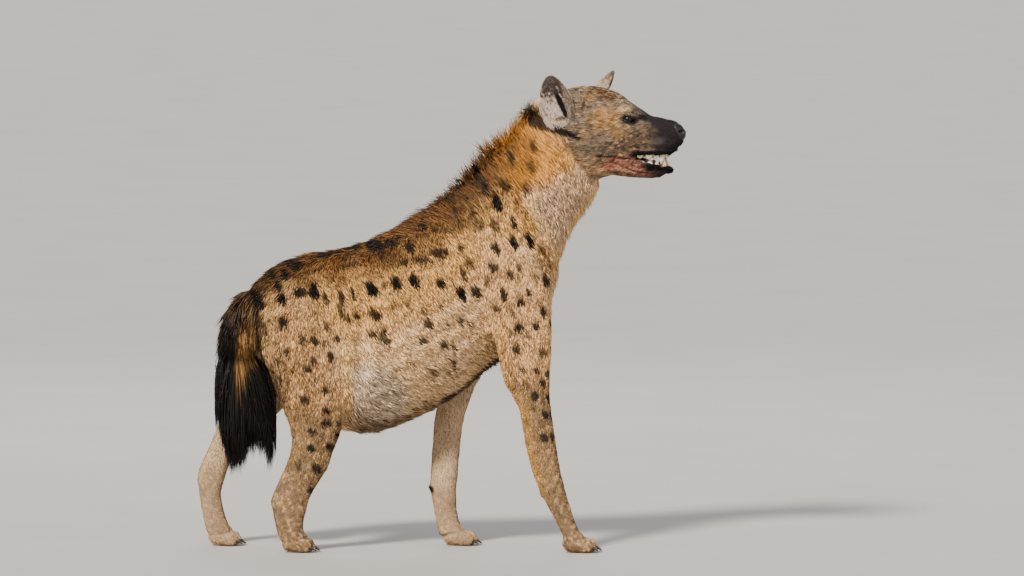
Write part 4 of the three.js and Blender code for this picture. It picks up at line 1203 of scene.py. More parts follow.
ears = {}
for name, leaf in EARS.items():
    made = copy_of(name, "shell_of_" + name)
    remeshed(made, EAR_VOXEL)
    ear_points = smoothed(points_of(made), edges_of(made), 20, 1.0)
    set_points(made, ear_points)
    shaded_smooth(made)
    on_leaf = ear_places(ear_points, normals_of(made), *leaf)
    colour_attribute(made, "ear", ear_colour(ear_points, *on_leaf))
    unwrapped(made)
    finished(made, ear_finish)
    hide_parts(name)
    ears[name] = made
print("ears:", [len(made.data.polygons) for made in ears.values()], "faces")

# %% [markdown]
# ## Nose
#
# The nose pad is bare leather with a fine pebble, wet enough to shine. Cells of a Voronoi
# texture a millimetre across make the pebbles.

# %% The nose
# Nose leather: bare black skin with a fine pebble, damp, so its shine is broken up.
nose_leather, tree, surface = new_finish("nose_leather", Roughness=0.46, IOR=1.4,
                                         Coat_Weight=0.06, Coat_Roughness=0.3)
place = add(tree, "TexCoord").outputs["Object"]
pebbles = add(tree, "TexVoronoi", {"Vector": place, "Scale": per(1.3)})
level = add(tree, "MapRange", {"Value": pebbles.outputs["Distance"], "To Min": 1.0,
                               "To Max": 0.35})
tint = add(tree, "MixRGB", {"Fac": level.outputs["Result"],
                            "Color1": (*linear("#040303"), 1),
                            "Color2": (*linear("#110e0f"), 1)})
tree.links.new(tint.outputs["Color"], surface.inputs["Base Color"])
bump = add(tree, "Bump", {"Height": level.outputs["Result"], "Strength": 0.8,
                          "Distance": 0.35 * MM})
tree.links.new(bump.outputs["Normal"], surface.inputs["Normal"])

NOSE_VOXEL = 1.1 * MM
NOSE_SIZE = np.array([1.5, 1.15, 1.3])         # fuller than the solid, which stops short
NOSE_BACK = np.array([4.5, 0, 2])              # moved back and down by this

nose = copy_of("nose", "nose_pad", 0.5 * MM)
remeshed(nose, NOSE_VOXEL)
pad = straight(smoothed(points_of(nose), edges_of(nose), 14, 1.0))
low, high = pad.min(axis=0), pad.max(axis=0)
front = np.array([high[0], 0, (low[2] + high[2]) / 2])
pad = front + (pad - front) * NOSE_SIZE - NOSE_BACK
low, high = pad.min(axis=0), pad.max(axis=0)
set_points(nose, on_head(pad))
pad_normals = normals_of(nose) @ turn
for side in (-1, 1):                           # a comma: a round hole and a slit behind it
    hole = (high[0] - 7, side * 15, high[2] - 9)
    slit_end = (high[0] - 17, side * 19, high[2] - 15)
    pad = pressed(pad, pad_normals, hole, (7, 7, 7), -6)
    pad = stroked(pad, pad_normals, hole, slit_end, 3.5, -3)
middle, below = (high[0], 0, high[2] - 14), (high[0] - 8, 0, low[2])
pad = stroked(pad, pad_normals, middle, below, 2.6, -2.2)
set_points(nose, on_head(evened(pad, edges_of(nose), 1)))
print("nose pad:", low.round(), high.round())
shaded_smooth(nose)
finished(nose, nose_leather)
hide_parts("nose")
print("nose:", len(nose.data.polygons), "faces")

# %% [markdown]
# ## Teeth, gums and tongue
#
# The half-open mouth shows both rows. Each crown is a tapered ball on an arch, longer for
# the canine, broad and three-pointed for the bone-cracking premolars. They are placed by
# their share of the arch, from its right end to its left, and mirrored about the front.

# %% Arches and crowns
UPPER_ARCH = [(468, 33), (500, 30), (525, 26), (541, 17), (547, 0)]
LOWER_ARCH = [(458, 27), (490, 25), (517, 21), (535, 13), (541, 0)]
UPPER_GUM, LOWER_GUM = 941, 903                # levels
ROOT = 5                                       # each crown starts this deep in the gum
WITH_CUSPS = 0.27                              # teeth up to this share are premolars
UPPER_CROWNS = [                               # share of the arch, length, along, across
    (0.045, 17, 12.5, 6), (0.13, 20, 11, 7), (0.21, 18, 9, 6), (0.305, 31, 7, 6.5),
    (0.385, 16, 6.4, 5), (0.432, 13, 5.4, 4.4), (0.477, 12, 5.2, 4.2),
]
LOWER_CROWNS = [
    (0.02, 15, 11, 5), (0.1, 17, 10.5, 5.5), (0.18, 18, 9, 6), (0.255, 14, 7, 5),
    (0.37, 28, 6.5, 6), (0.43, 11, 4.8, 4), (0.475, 10, 4.6, 4),
]


def along_arch(half, share, level):
    """A place on the arch: 0 is its right end, 0.5 the front, 1 its left end."""
    fine = np.linspace(0, 1, len(half))
    place = 2 * min(share, 1 - share)
    x = np.interp(place, fine, [p[0] for p in half])
    y = np.interp(place, fine, [p[1] for p in half])
    return np.array([x, -y if share < 0.5 else y, level])


def crown(place, arch_way, down, length, along, across, cusps):
    """One tooth: a ball stretched to a taper, its sides raised into cusps if wanted."""
    made = unit_ball(14, 10)
    shape = points_of(made)
    rise = (shape[:, 2] + 1) / 2
    taper = 1 - (0.78 - 0.3 * cusps) * rise ** (1.7 + 1.3 * cusps)
    wide, thick = shape[:, 0] * taper, shape[:, 1] * taper
    hump = np.exp(-((np.abs(shape[:, 0]) - 0.62) / 0.26) ** 2) * cusps
    height = rise * length * (1 - 0.30 * np.abs(shape[:, 0]) * cusps) + hump * length * 0.16
    lean = 0.12 * (rise ** 2) * length * (1 - cusps)
    outward = np.cross(arch_way, UP)
    local = (np.outer(wide * along, arch_way) + np.outer(thick * across, outward)
             + np.outer(height * down, UP) - np.outer(lean, np.array([1.0, 0, 0])))
    set_points(made, on_head(place + local))
    edited(made, faces_out)
    shaded_smooth(made)
    return made


# Enamel: ivory and glossy, stained yellow-brown towards the gum.
enamel, tree, surface = new_finish("enamel", Roughness=0.22, IOR=1.62,
                                   Subsurface_Weight=0.12, Subsurface_Scale=0.004)
rise = add(tree, "SeparateXYZ", {0: add(tree, "TexCoord").outputs["Object"]}).outputs["Z"]
mouth_middle = (UPPER_GUM + LOWER_GUM) / 2 * MM
middle = add(tree, "Math", {0: rise, 1: mouth_middle}, operation="SUBTRACT").outputs["Value"]
to_gum = add(tree, "Math", {0: middle}, operation="ABSOLUTE").outputs["Value"]
stained = add(tree, "MapRange", {"Value": to_gum, "From Min": 0.004, "From Max": 0.016})
tint = add(tree, "MixRGB", {"Fac": stained.outputs["Result"],
                            "Color1": (*linear("#ddd2ba"), 1),
                            "Color2": (*linear("#a88a58"), 1)})
mottled(tree, surface, tint.outputs["Color"], 3.0, 0.86, 1.08)

rows = {"upper_teeth": (UPPER_ARCH, UPPER_GUM, UPPER_CROWNS, -1),
        "lower_teeth": (LOWER_ARCH, LOWER_GUM, LOWER_CROWNS, 1)}
for name, (arch, level, crowns, down) in rows.items():
    made = []
    for share, length, along, across in crowns:
        for place in (share, 1 - share):
            here = along_arch(arch, place, level - down * ROOT)
            ahead = along_arch(arch, min(place + 0.02, 1), level)
            behind = along_arch(arch, max(place - 0.02, 0), level)
            cusps = 1.0 if share < WITH_CUSPS else 0.0
            made.append(crown(here, unit(ahead - behind), down, length + ROOT, 1.12 * along,
                              across, cusps))
    teeth = joined(name, made)
    finished(teeth, enamel)
    print(name + ":", 2 * len(crowns))

# %% Gums, tongue and the skin inside the mouth
# Wet mouth skin: dark pink, smooth, with a strong wet shine.
mouth_finish = grained_finish("wet_mouth_skin", "#6e2f2c", 3.0, 0.6, 1.25, bump=(0.5, 0.5),
                              Roughness=0.3, IOR=1.4, Coat_Weight=0.4, Coat_Roughness=0.15)
GUM_POINTS = 40

for name, arch, level, radius in (("upper_gum", UPPER_ARCH, UPPER_GUM + 4, 7.5),
                                  ("lower_gum", LOWER_ARCH, LOWER_GUM - 3, 6.5)):
    steps = np.linspace(0, 1, GUM_POINTS)
    places = np.array([along_arch(arch, share, level) for share in steps])
    links = np.stack([np.arange(GUM_POINTS - 1), np.arange(1, GUM_POINTS)], 1)
    places = evened(places, links, 4)
    radii = radius * MM * (0.4 + 0.6 * np.sin(math.pi * steps) ** 0.4)
    finished(tube(name, on_head(places), radii, sides=4), mouth_finish)

tongue = renamed(unit_ball(32, 24), "tongue")
shape = points_of(tongue)
groove = 2.2 * np.exp(-(shape[:, 1] / 0.16) ** 2) * (shape[:, 2] > 0)
wide = 19 * (1 - 0.25 * blend(0.2, 1, shape[:, 0]))
set_points(tongue, on_head(np.stack([
    474 + 50 * shape[:, 0], wide * shape[:, 1], 903 + 7 * shape[:, 2] - groove], 1)))
shaded_smooth(tongue)
finished(tongue, mouth_finish)
print("mouth: 2 gums and a tongue")

# %% [markdown]
# ## Claws
#
# Four blunt claws on each paw never draw in, as a dog's. Each is a short curved horn: a
# curve with a bevel that narrows to its tip.

# %% Claws
# Horn: dark, worn and satin, with a fine mottled grain.
horn = grained_finish("claw_horn", "#2a221c", 1.5, 0.6, 1.5, Roughness=0.38, IOR=1.54)
CLAW_RADIUS = 4.2                              # at the root; the tip is less than a quarter

made = []
for x, y, length, width in PAWS.values():
    for toe_x, toe_y in toe_places(x, y, width):
        root = np.array([toe_x + 0.52 * length, toe_y, 12.5])
        bend = [root + np.array([14 * t, 0, -3 * t - 5 * t * t]) for t in np.linspace(0, 1, 7)]
        radii = CLAW_RADIUS * MM * np.linspace(1, 0.22, 7)
        made.append(tube("claw", (np.array(bend) + FRAME_SHIFT) * MM, radii))
claws = joined("claws", made)
finished(claws, horn)
print("claws:", len(made))

# %% [markdown]
# ## The lie of the coat
#
# Hair doesn't grow any way it likes. On this animal it lies forwards and down over the
# side, straight back along the spine, back and down over rump and tail, straight down the
# legs, and away from the nose on the head. Each region gets one direction, laid flat on
# the skin, and the directions are evened so that they turn softly from one to the next.

# %% Directions over the skin
BEFORE_NOSE = np.array([600, 0, 985])          # hair on the head lies away from here
LIE = dict(trunk=(0.45, 0, -0.9), neck=(0.42, 0, -0.9), head=(-1, 0, -0.2),
           tail=(-0.24, 0, -1), arm=(0.12, 0, -1), forearm=(0, 0, -1), thigh=(0.05, 0, -1),
           shank=(-0.05, 0, -1), paw=(0.6, 0, -0.7))
LENGTH = dict(trunk=24, neck=26, head=8, tail=36, arm=18, forearm=8, thigh=19, shank=9,
              paw=4.5)                         # mm
LIFT = dict(trunk=12, neck=14, head=9, tail=9, arm=10, forearm=6, thigh=10, shank=6,
            paw=4)                             # degrees from the skin
SHORT_HAIRED = dict(trunk=0, neck=0, head=1.0, tail=0, arm=0.15, forearm=1, thigh=0.1,
                    shank=1, paw=1.6)          # share of straight short tufts

normals = normals_of(skin)
where = points / MM - FRAME_SHIFT
head = straight(points)
x, y, z = where.T
rise = height_on_trunk(x, z)
part = dict(zip(REGIONS, shares.T))
flank = part["trunk"] * (1 - blend(0.3, 0.62, rise)) * blend(-260, -160, x)
rump = part["trunk"] * blend(-270, -380, x)
top = blend(0.72, 0.95, normals[:, 2]) * (part["trunk"] + part["neck"])
from_nose = unit(head - BEFORE_NOSE) @ turn.T


def laid_on(directions, out):
    """Directions laid flat on a surface that faces out."""
    return unit(directions - out * np.sum(directions * out, 1)[:, None])


lie = mixed(by_region(LIE), np.array([0.9, 0, -0.65]), flank)
lie = mixed(lie, np.array([-0.7, 0, -0.8]), rump)
lie = mixed(lie, from_nose, part["head"])
lie = mixed(lie, np.array([-1, 0, 0.1]), top)
for _ in range(5):
    lie = evened(laid_on(lie, normals), edges, 4)
lie = laid_on(lie, normals)
print("lie of the coat:", len(lie), "directions")

# %% Where the skin is under the mane
mane_solid = BVHTree.FromObject(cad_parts["mane"], bpy.context.evaluated_depsgraph_get())
under_mane = np.zeros(len(points))
for i in np.nonzero((z > 640) & (x > -270) & (x < 320))[0]:
    gap = mane_solid.find_nearest(Vector(points[i]), 30 * MM)[3]
    under_mane[i] = 0 if gap is None else 1 - blend(9, 17, gap / MM)
under_mane = evened(under_mane, edges, 6)
print("under the mane:", int(np.sum(under_mane > 0.5)), "points")

# %% How long the hair is, and how far it lifts
length = by_region(LENGTH)
length += part["trunk"] * (8 * (1 - blend(0.0, 0.3, rise)) + 10 * blend(0.9, 1.02, rise))
length += part["head"] * 9 * blend(420, 330, head[:, 0])
throat = part["neck"] * blend(0.2, 0.7, normals[:, 0]) * (1 - blend(860, 900, z))
length += 8 * throat
length *= 1 - 0.35 * part["head"] * blend(470, 560, head[:, 0])
lift = by_region(LIFT) + 16 * throat + 14 * top
lift += 8 * part["trunk"] * (1 - blend(0, 0.12, rise))
lift = evened(lift, edges, 10)
length = evened(length, edges, 10)
print("length:", length.min().round(1), "to", length.max().round(1), "mm")

# %% Where no hair grows, and where dark hairs mix in
EYE_BARE, NOSE_BARE, EAR_BARE = 14.5, 21, 16   # rings without hair, from their middles
EYE_PAINTED = 16                               # the black skin reaches a little farther
SOLE_HEIGHT, TAIL_BARE_BELOW = 5, 514          # the brush has strands of its own

lip_reach = np.interp(head[:, 0], [400, 422, 446, 472, 500, 530, 551, 562],
                      [30, 44, 40, 35, 31, 26, 15, 0])
in_mouth = (
    blend(424, 434, head[:, 0]) * (np.abs(head[:, 1]) < lip_reach - 4) * (head[:, 0] < 534)
    * (np.abs(head[:, 2] - MOUTH_LEVEL) < 24 + 4 * (head[:, 0] > 470))
)
near_eye = np.minimum(*[np.linalg.norm(head - eye_axes(side)[0], axis=1) for side in (-1, 1)])
near_ear = np.zeros(len(points))
for base, *_ in EARS.values():
    near_ear = np.maximum(near_ear, np.linalg.norm(head - np.array(base), axis=1) < EAR_BARE)
nose_low, nose_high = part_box("nose")
near_nose = np.linalg.norm(points - np.array((nose_low + nose_high) / 2), axis=1) / MM
bare = np.clip(in_mouth + (near_eye < EYE_BARE) + (near_nose < NOSE_BARE) + near_ear, 0, 1)
bare = np.maximum(bare, (z < SOLE_HEIGHT))
bare = np.maximum(bare, (part["tail"] > 0.2) * (z < TAIL_BARE_BELOW))
darker = 0.12 + 0.2 * part["trunk"] * (1 - blend(0.1, 0.35, rise))   # share of dark tufts
darker += 0.08 * (part["head"] + part["forearm"] + part["shank"])
print("bare:", int(np.sum(bare > 0.5)), "points")

# %% Paint the skin
colours = hide_colour(points, shares, normals)
colours = mixed(colours, PAINT["mouth"], in_mouth)
colours = mixed(colours, PAINT["lip"], (near_eye < EYE_PAINTED) * 0.9)
colours = colours * (0.8 + 0.2 * bare)[:, None]        # darker below the coat
colour_attribute(skin, "hide", colours)
print("skin painted:", len(colours), "points")

# %% [markdown]
# ## Tufts
#
# A real coat has millions of hairs, far too many to model. One tuft stands for a few
# dozen: a thin three-sided blade that leaves the skin, bends along it and ends in
# a point. Thousands of them are worked out at once as arrays of numbers, which is quick,
# and joined into a few meshes. Each tuft's small patch on the unwrap sits at its root.

# %% Sow roots and grow tufts
def sown(chance, count, made=skin):
    """Sows roots over a mesh, more where chance is high. Gives a function that reads a
    value of the mesh's points at each root, and the roots' places on the unwrap."""
    mesh = made.data
    mesh.calc_loop_triangles()
    total = len(mesh.loop_triangles)
    corner_loops = read(mesh.loop_triangles, "loops", 3, np.int32)
    corner_points = read(mesh.loop_triangles, "vertices", 3, np.int32)
    a, b, c = points_of(made)[corner_points].transpose(1, 0, 2)
    area = np.linalg.norm(np.cross(b - a, c - a), axis=1)
    weight = np.cumsum(area * chance[corner_points].mean(axis=1))
    steps = (np.arange(count) + random.random(count)) / count * weight[-1]
    pick = np.minimum(np.searchsorted(weight, steps), total - 1)
    u, v = in_triangles(count)
    shares_of_corners = np.stack([1 - u - v, u, v], 1)
    unwrap = read(mesh.uv_layers["OFBake"].data, "uv", 2)

    def at_roots(values):
        values = np.asarray(values, float)
        picked = values[corner_points[pick]]
        extra = (None,) * (picked.ndim - 2)
        return np.sum(picked * shares_of_corners[(...,) + extra], axis=1)

    on_map = np.sum(unwrap[corner_loops[pick]] * shares_of_corners[..., None], axis=1)
    return at_roots, on_map


def mesh_of_triangles(name, places, triangles):
    mesh = bpy.data.meshes.new(name)
    mesh.vertices.add(len(places))
    mesh.vertices.foreach_set("co", places.astype(np.float32).ravel())
    mesh.loops.add(triangles.size)
    mesh.loops.foreach_set("vertex_index", triangles.astype(np.int32).ravel())
    mesh.polygons.add(len(triangles))
    mesh.polygons.foreach_set("loop_start", np.arange(0, triangles.size, 3, dtype=np.int32))
    mesh.polygons.foreach_set("use_smooth", np.ones(len(triangles), bool))
    mesh.update(calc_edges=True)
    return new_object(name, mesh)


def blade_triangles(rings):
    """Triangles of one blade: a closed root, three sides and a pointed tip."""
    made = [(0, 2, 1)]
    for ring in range(rings - 1):
        for i in range(3):
            low, low_next = 3 * ring + i, 3 * ring + (i + 1) % 3
            made += [(low, low_next, low_next + 3), (low, low_next + 3, low + 3)]
    last, tip = 3 * (rings - 1), 3 * rings
    return np.array(made + [(last + i, last + (i + 1) % 3, tip) for i in range(3)])


def graded(root_colour, tip_colour, rings):
    """Colours from root to tip, one for each ring and one for the point."""
    along = np.linspace(0, 1, rings + 1)[None, :, None]
    return root_colour[:, None] + along * (tip_colour - root_colour)[:, None]


PATCH = 0.003                                  # side of a tuft's place on the unwrap


def grow(name, centre_line, widths, sideways, outwards, on_map, colours):
    """Blades along centre_line (tufts, rings + 1, 3), as one mesh with its colours.
    widths is a half-width for each tuft and ring, in metres."""
    tufts, steps = centre_line.shape[:2]
    rings = steps - 1
    corners = [(-1, 0), (1, 0), (0, 1)]
    ring_points = np.stack([
        centre_line[:, :rings] + widths[..., None] * (
            a * sideways[:, None] + b * outwards[:, None])
        for a, b in corners], axis=2)
    places = np.concatenate([ring_points.reshape(tufts, -1, 3), centre_line[:, -1:]], axis=1)
    each = 3 * rings + 1
    shape = blade_triangles(rings)
    triangles = (shape[None] + (np.arange(tufts) * each)[:, None, None]).reshape(-1, 3)
    made = mesh_of_triangles(name, places.reshape(-1, 3), triangles)
    along = np.append(np.repeat(np.arange(rings) / rings, 3), 1.0)
    each_point = np.append(np.repeat(np.arange(rings), 3), rings)
    colour_attribute(made, "coat", colours[:, each_point].reshape(-1, 3))
    spread = np.stack([np.append(np.tile([0, 0.5, 1.0], rings), 0.5), along], 1) * PATCH
    loops = on_map[:, None] + spread[shape.ravel()][None]
    layer = made.data.uv_layers.new(name="OFBake")
    layer.data.foreach_set("uv", loops.astype(np.float32).ravel())
    return made


def bent(root, lie, out, length, lift, curl, rings):
    """Centre lines that leave the skin at the lift angle and bend back along it."""
    t = np.linspace(0, 1, rings + 1)[None, :, None]
    side = np.cross(lie, out)
    length, lift, curl = length[:, None, None], lift[:, None, None], curl[:, None, None]
    along = lie[:, None] * (length * t * np.cos(lift * (1 - 0.5 * t)))
    up = out[:, None] * (length * np.sin(lift) * (t - 0.42 * t * t))
    return root[:, None] + along + up + side[:, None] * (length * curl * t * t), side


# Hair: coarse and matt on the body, straighter and with more shine on mane and tail.
def hair_finish(name, roughness, shine):
    return grained_finish(name, "coat", 2.4, 0.82, 1.2, detail=2.0, Roughness=roughness,
                          Specular_IOR_Level=shine)


coat_hair = hair_finish("coarse_coat_hair", 0.62, 0.18)
face_hair = hair_finish("short_face_hair", 0.66, 0.16)


def coat_colours(places, parts, out, dark_share, keep, rings):
    """Roots darker, tips paler, each tuft a little off, and some tufts nearly black."""
    colour = hide_colour(places, parts, out)
    own = np.exp(0.3 * random_off(len(places)))
    own = own * np.where(random.random(len(places)) < dark_share, 0.42, 1.0)
    colour = colour * np.clip(own, 0.3, 1.9)[:, None]
    return graded(colour * (1 - keep), colour * 1.42, rings)


def own_tones(count, spread, low, high):
    """A brightness of its own for each tuft or strand."""
    return np.clip(np.exp(spread * random_off(count)), low, high)[:, None]


print("finishes: 2 kinds of hair")

# %% The coat of the body, long and short
TUFTS_PER_PIECE = 18500
LONG_TUFTS, SHORT_TUFTS, FACE_TUFTS = 70000, 44000, 52000


def coat(name, chance, count, rings, width, keep_root, material, swirl_grain):
    """Sows and grows one kind of tuft: rings 2 for bent long hair, 1 for short straight."""
    at_roots, on_map = sown(chance, count)
    root, out, flow = at_roots(points), unit(at_roots(normals)), unit(at_roots(lie))
    long = at_roots(length) * MM * random.uniform(0.7, 1.28, count)
    rise_angle = np.radians(at_roots(lift) * random.uniform(0.5, 1.5, count))
    swirl = 0.24 * wavy(root / MM, swirl_grain, 41) + 0.2 * random_off(count)
    flow = unit(flow + np.cross(flow, out) * swirl[:, None])
    line, side = bent(root, flow, out, long, rise_angle, 0.1 * random_off(count), rings)
    line[..., 2] = np.maximum(line[..., 2], 1.5 * MM)
    half = (width[0] + width[1] * at_roots(length)) * MM * random.uniform(0.75, 1.25, count)
    widths = half[:, None] * np.array([0.85, 1.0][:rings])
    seen = root + flow * (0.85 * long)[:, None]            # where the tuft's tip shows
    colours = coat_colours(seen, at_roots(shares), out, at_roots(darker), keep_root, rings)
    order = np.argsort(random.random(count))
    each = TUFTS_PER_PIECE * (1 if rings == 2 else 2)
    for first in range(0, count, each):
        these = order[first:first + each]
        piece = grow(f"{name}_{first // each + 1}", line[these], widths[these], side[these],
                     out[these], on_map[these], colours[these])
        finished(piece, material)
    print(name + ":", count, "tufts")


short_share = by_region(SHORT_HAIRED)
nearer = 1 + 0.3 * (y < 60)                    # a little denser on the side that shows
long_chance = (1 - np.minimum(short_share, 1)) * (1 - bare) * (1 - 0.75 * under_mane) * nearer
coat("coat", long_chance, LONG_TUFTS, 2, (0.48, 0.032), 0.36, coat_hair, 26)
short_chance = short_share * (1 - part["head"]) * (1 - bare) * nearer
coat("short_coat", short_chance, SHORT_TUFTS, 1, (0.43, 0.041), 0.2, coat_hair, 20)

# %% The coat of the head
face_chance = part["head"] * (1 - bare) * (1.0 + 1.3 * blend(400, 500, head[:, 0]))
coat("face_coat", face_chance, FACE_TUFTS, 1, (0.36, 0.035), 0.25, face_hair, 18)

# %% The hair of the ears
EAR_TUFTS = 5200
for name, leaf in EARS.items():
    made = ears[name]
    ear_points, ear_normals = points_of(made), normals_of(made)
    at_roots, on_map = sown(np.ones(len(ear_points)), EAR_TUFTS, made)
    root, out = at_roots(ear_points), unit(at_roots(ear_normals))
    up_share, side_share, inner = ear_places(root, out, *leaf)
    stem = unit(np.array(leaf[1]) - np.array(leaf[0])) @ turn.T
    flow = laid_on(unit(stem + 0.35 * random_off((EAR_TUFTS, 3))), out)
    long = random.uniform(4, 8, EAR_TUFTS) * MM
    line, side = bent(root, flow, out, long, np.radians(random.uniform(8, 26, EAR_TUFTS)),
                      0.1 * random_off(EAR_TUFTS), 1)
    own = own_tones(EAR_TUFTS, 0.5, 0.3, 2.2)
    colour = ear_colour(root + flow * long[:, None], up_share, side_share, inner) * own
    piece = grow("hair_of_" + name, line, np.full((EAR_TUFTS, 1), 0.5 * MM), side, out, on_map,
                 graded(colour * 0.8, colour * 1.3, 1))
    finished(piece, face_hair)
print("ears:", 2 * EAR_TUFTS, "tufts")

# %% [markdown]
# ## The mane
#
# From the nape to the middle of the back the hair grows long and half upright, leaning
# back. It has dark roots and ochre ends, and about one strand in four has a dark tip. Its
# locks are finer than those of the solids: each is a bunch of strands, rooted within
# 13 mm, that share a direction, a length and a lift. Along the crest the strands stand
# up, which makes the ragged outline, and on the sides they lie closer.

# %% The mane
MANE_STRANDS = 9600
LOCK = 13                                      # mm of skin from which one lock grows
mane_hair = hair_finish("long_mane_hair", 0.52, 0.22)
crest = (1 - blend(10, 60, np.abs(y))) * blend(0.2, 0.8, normals[:, 2])
mane_length = np.interp(x, [-260, -150, -20, 60, 120, 200, 290], [26, 30, 42, 62, 80, 84, 50])
mane_length = mane_length * (0.75 + 0.25 * crest)
mane_lift = np.interp(x, [-260, 0, 200], [24, 38, 44]) * (0.4 + 0.9 * crest)
chance = under_mane * (0.5 + 0.9 * crest + 0.5 * blend(100, 220, x))
at_roots, on_map = sown(chance, MANE_STRANDS)
root, out = at_roots(points), unit(at_roots(normals))
on_crest = at_roots(crest)[:, None]
on_neck = blend(-60, 60, at_roots(x))[:, None]
flow = laid_on(np.array([-0.86, 0, 0.3]) + on_neck * np.array([0.22, 0, 0.5]), out)
lock = np.stack([by_number(np.floor(root / MM / LOCK).astype(np.int64) + 7, seed)
                 for seed in (51, 52, 53)], 1)
side = np.cross(flow, out)
flow = unit(flow + side * (0.16 * lock[:, :1] + 0.12 * random_off((MANE_STRANDS, 1))))
strand_length = at_roots(mane_length) * MM * (1 + 0.18 * lock[:, 1]) * random.uniform(
    0.4, 1.15, MANE_STRANDS)
strand_lift = np.radians(at_roots(mane_lift) * (1 + 0.2 * lock[:, 2]) * random.uniform(
    0.7, 1.3, MANE_STRANDS))
line, side = bent(root, flow, out, strand_length, strand_lift,
                  0.1 * random_off(MANE_STRANDS), 4)
half = 1.3 * MM * random.uniform(0.7, 1.25, MANE_STRANDS)
widths = half[:, None] * np.array([0.8, 1.0, 0.8, 0.5])
parts = at_roots(shares)
own = own_tones(MANE_STRANDS, 0.3, 0.4, 1.8)
dark_tip = (random.random(MANE_STRANDS) < 0.2 + 0.08 * on_crest[:, 0])[:, None]
colours = np.zeros((MANE_STRANDS, 5, 3))
for ring, tone in enumerate((0.55, 0.9, 1.2, 1.3, 1.3)):  # each ring takes its place's colour
    here = hide_colour(0.35 * root + 0.65 * line[:, ring], parts, out) * own
    colours[:, ring] = here * tone * (1 - 0.72 * dark_tip * (ring > 2))
for number, these in enumerate(np.array_split(np.arange(MANE_STRANDS), 2), 1):
    piece = grow(f"mane_{number}", line[these], widths[these], side[these], out[these],
                 on_map[these], colours[these])
    finished(piece, mane_hair)
    if number == 1:
        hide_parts("mane")
print("mane:", MANE_STRANDS, "strands")

# %% [markdown]
# ## The tail brush
#
# The tail ends in a brush of long straight black hair that hangs in uneven lobes, with an
# ochre streak where the fur of the tail runs down into it. Each strand takes its colour
# place by place, so that the streak stays where it is while strands cross it.

# %% The brush
BRUSH_STRANDS = 4300
BRUSH_TOP, BRUSH_END = np.array([-474.0, 0, 500]), np.array([-457.0, 0, 330])
BRUSH_MIDDLE, BRUSH_REACH = -457, 70
LOWEST = [                                     # how low the hair hangs: x, z
    (-528, 282), (-505, 227), (-488, 176), (-467, 200), (-451, 222), (-432, 237),
    (-414, 212), (-396, 184), (-384, 230),
]
tail_hair = hair_finish("straight_tail_hair", 0.45, 0.28)


def tail_colours(line):
    """Black, with an ochre streak down the side that faces the camera."""
    count, rings = line.shape[:2]
    own = own_tones(count, 0.32, 0.4, 2)
    seen = 14 * random_off(count)
    colours = np.zeros((count, rings, 3))
    for ring in range(rings):
        here = line[:, ring] / MM - FRAME_SHIFT
        lower = 0.16 * (here[:, 2] - 467)          # the streak narrows and leans back
        off = np.abs(here[:, 0] + 460 - lower) / (26 + lower) + 0.3 * wavy(here, 14, 71)
        streak = (1 - blend(0.4, 1, off)) * blend(372, 446, here[:, 2] + seen)
        streak = streak * (1 - blend(-8, 10, here[:, 1]))
        colours[:, ring] = mixed(PAINT["brush"] * own, PAINT["brush_streak"] * own, streak)
    return colours


down_share = random.random(BRUSH_STRANDS) ** 1.3
around = random.uniform(0, 2 * math.pi, BRUSH_STRANDS)
ring = np.stack([np.cos(around), np.sin(around), 0 * around], 1)
radius = 16 - 9 * down_share
root = BRUSH_TOP + down_share[:, None] * (BRUSH_END - BRUSH_TOP) + ring * radius[:, None]
reach = random.random(BRUSH_STRANDS) ** 0.4
lean = np.clip(ring[:, 0] * reach + 0.12 * random_off(BRUSH_STRANDS), -1, 1)
tip_x = BRUSH_MIDDLE + BRUSH_REACH * lean
uneven = wavy(np.stack([tip_x, 0 * tip_x, 0 * tip_x], 1), 9, 72)
tip = np.stack([
    tip_x,
    32 * ring[:, 1] * reach + 4 * random_off(BRUSH_STRANDS),
    np.interp(tip_x, *zip(*LOWEST)) + 12 * uneven + 9 * random_off(BRUSH_STRANDS)
    + 110 * random.random(BRUSH_STRANDS) ** 1.8,
], 1)
t = np.linspace(0, 1, 6)[None, :, None]
belly_of = root + ring * np.array([34, 22, 0]) * reach[:, None] - [0, 0, 46.0]
above_tip = tip + np.array([0, 0, 100]) + ring * np.array([10, 6, 0])
line = ((1 - t) ** 3 * root[:, None] + 3 * t * (1 - t) ** 2 * belly_of[:, None]
        + 3 * t * t * (1 - t) * above_tip[:, None] + t ** 3 * tip[:, None])
line = line + 1.6 * t * np.sin(t * 7 + 6 * random.random((BRUSH_STRANDS, 1, 3)))
line = (line + FRAME_SHIFT) * MM
out = unit(ring + np.array([0, 0, 0.1]))
side = unit(np.cross(unit(tip - root), out))
half = 1.5 * MM * random.uniform(0.7, 1.3, BRUSH_STRANDS)
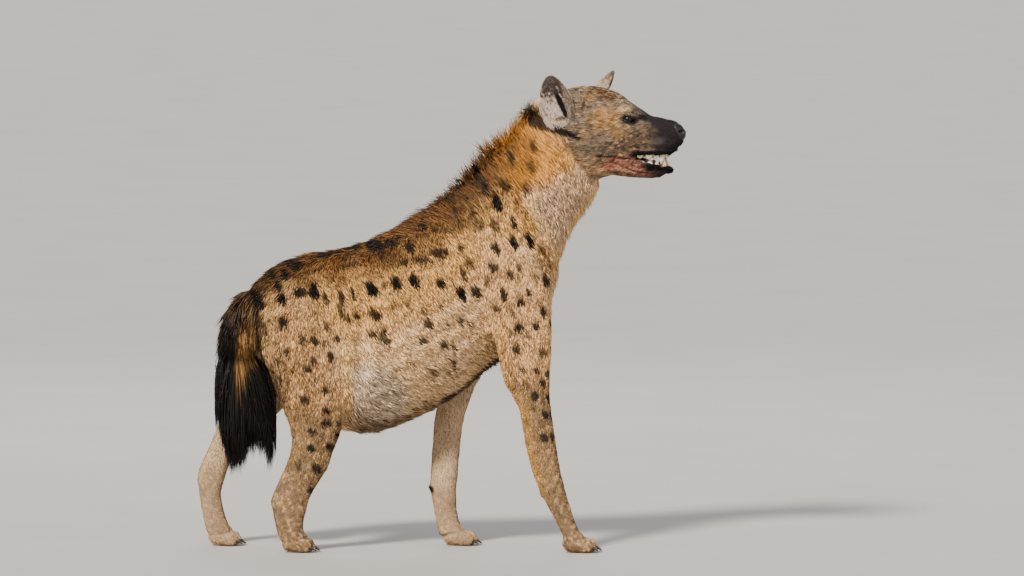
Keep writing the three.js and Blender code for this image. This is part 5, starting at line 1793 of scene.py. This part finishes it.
widths = half[:, None] * np.array([0.8, 1.0, 1.0, 0.8, 0.5])
tail_map = np.array([0.5, 0.5]) + 0.4 * (random.random((BRUSH_STRANDS, 2)) - 0.5)
brush = grow("tail_brush", line, widths, side, out, tail_map, tail_colours(line))
finished(brush, tail_hair)
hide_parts("tail_switch")
print("brush:", BRUSH_STRANDS, "strands")

# %% Hair that runs from the tail's root into the brush
RUNNING_STRANDS = 3600
at_roots, on_map = sown(part["tail"] * blend(600, 560, z) * (z > 515), RUNNING_STRANDS)
root, out = at_roots(points), unit(at_roots(normals))
downwards = np.array([0.05, 0, -1]) + 0.05 * random_off((RUNNING_STRANDS, 3))
flow = laid_on(downwards, out)
long = random.uniform(45, 80, RUNNING_STRANDS) * MM
line, side = bent(root, flow, out, long, np.radians(random.uniform(3, 12, RUNNING_STRANDS)),
                  0.05 * random_off(RUNNING_STRANDS), 3)
seen = root / MM - FRAME_SHIFT
brown = hide_colour(root + flow * 0.03, at_roots(shares), out)
brown = brown * own_tones(RUNNING_STRANDS, 0.3, 0.4, 1.8)
share = 0.85 * blend(515, 575, seen[:, 2] + 10 * random_off(RUNNING_STRANDS))
colours = mixed(tail_colours(line).reshape(-1, 3), np.repeat(brown, 4, axis=0),
                np.repeat(share, 4)).reshape(-1, 4, 3)
half = 1.2 * MM * random.uniform(0.7, 1.3, RUNNING_STRANDS)
widths = half[:, None] * np.array([0.8, 1, 0.7])
piece = grow("tail_root_hair", line, widths, side, out, on_map, colours)
finished(piece, tail_hair)
print("tail root:", RUNNING_STRANDS, "strands")

# %% [markdown]
# ## Floor
#
# The floor is a plain pale sheet.

# %% Floor
# Floor: matt pale paint, a little uneven so that it isn't a dead flat grey.
floor_paint = grained_finish("pale_floor", "#a5a29d", 400, 0.97, 1.03, Roughness=0.85)
FLOOR_SIZE = 800                               # metres, so that its edge is never in sight
bpy.ops.mesh.primitive_plane_add(size=FLOOR_SIZE, location=(0, 0, 0))
floor = renamed(bpy.context.active_object, "floor")
floor.data.materials.append(floor_paint)
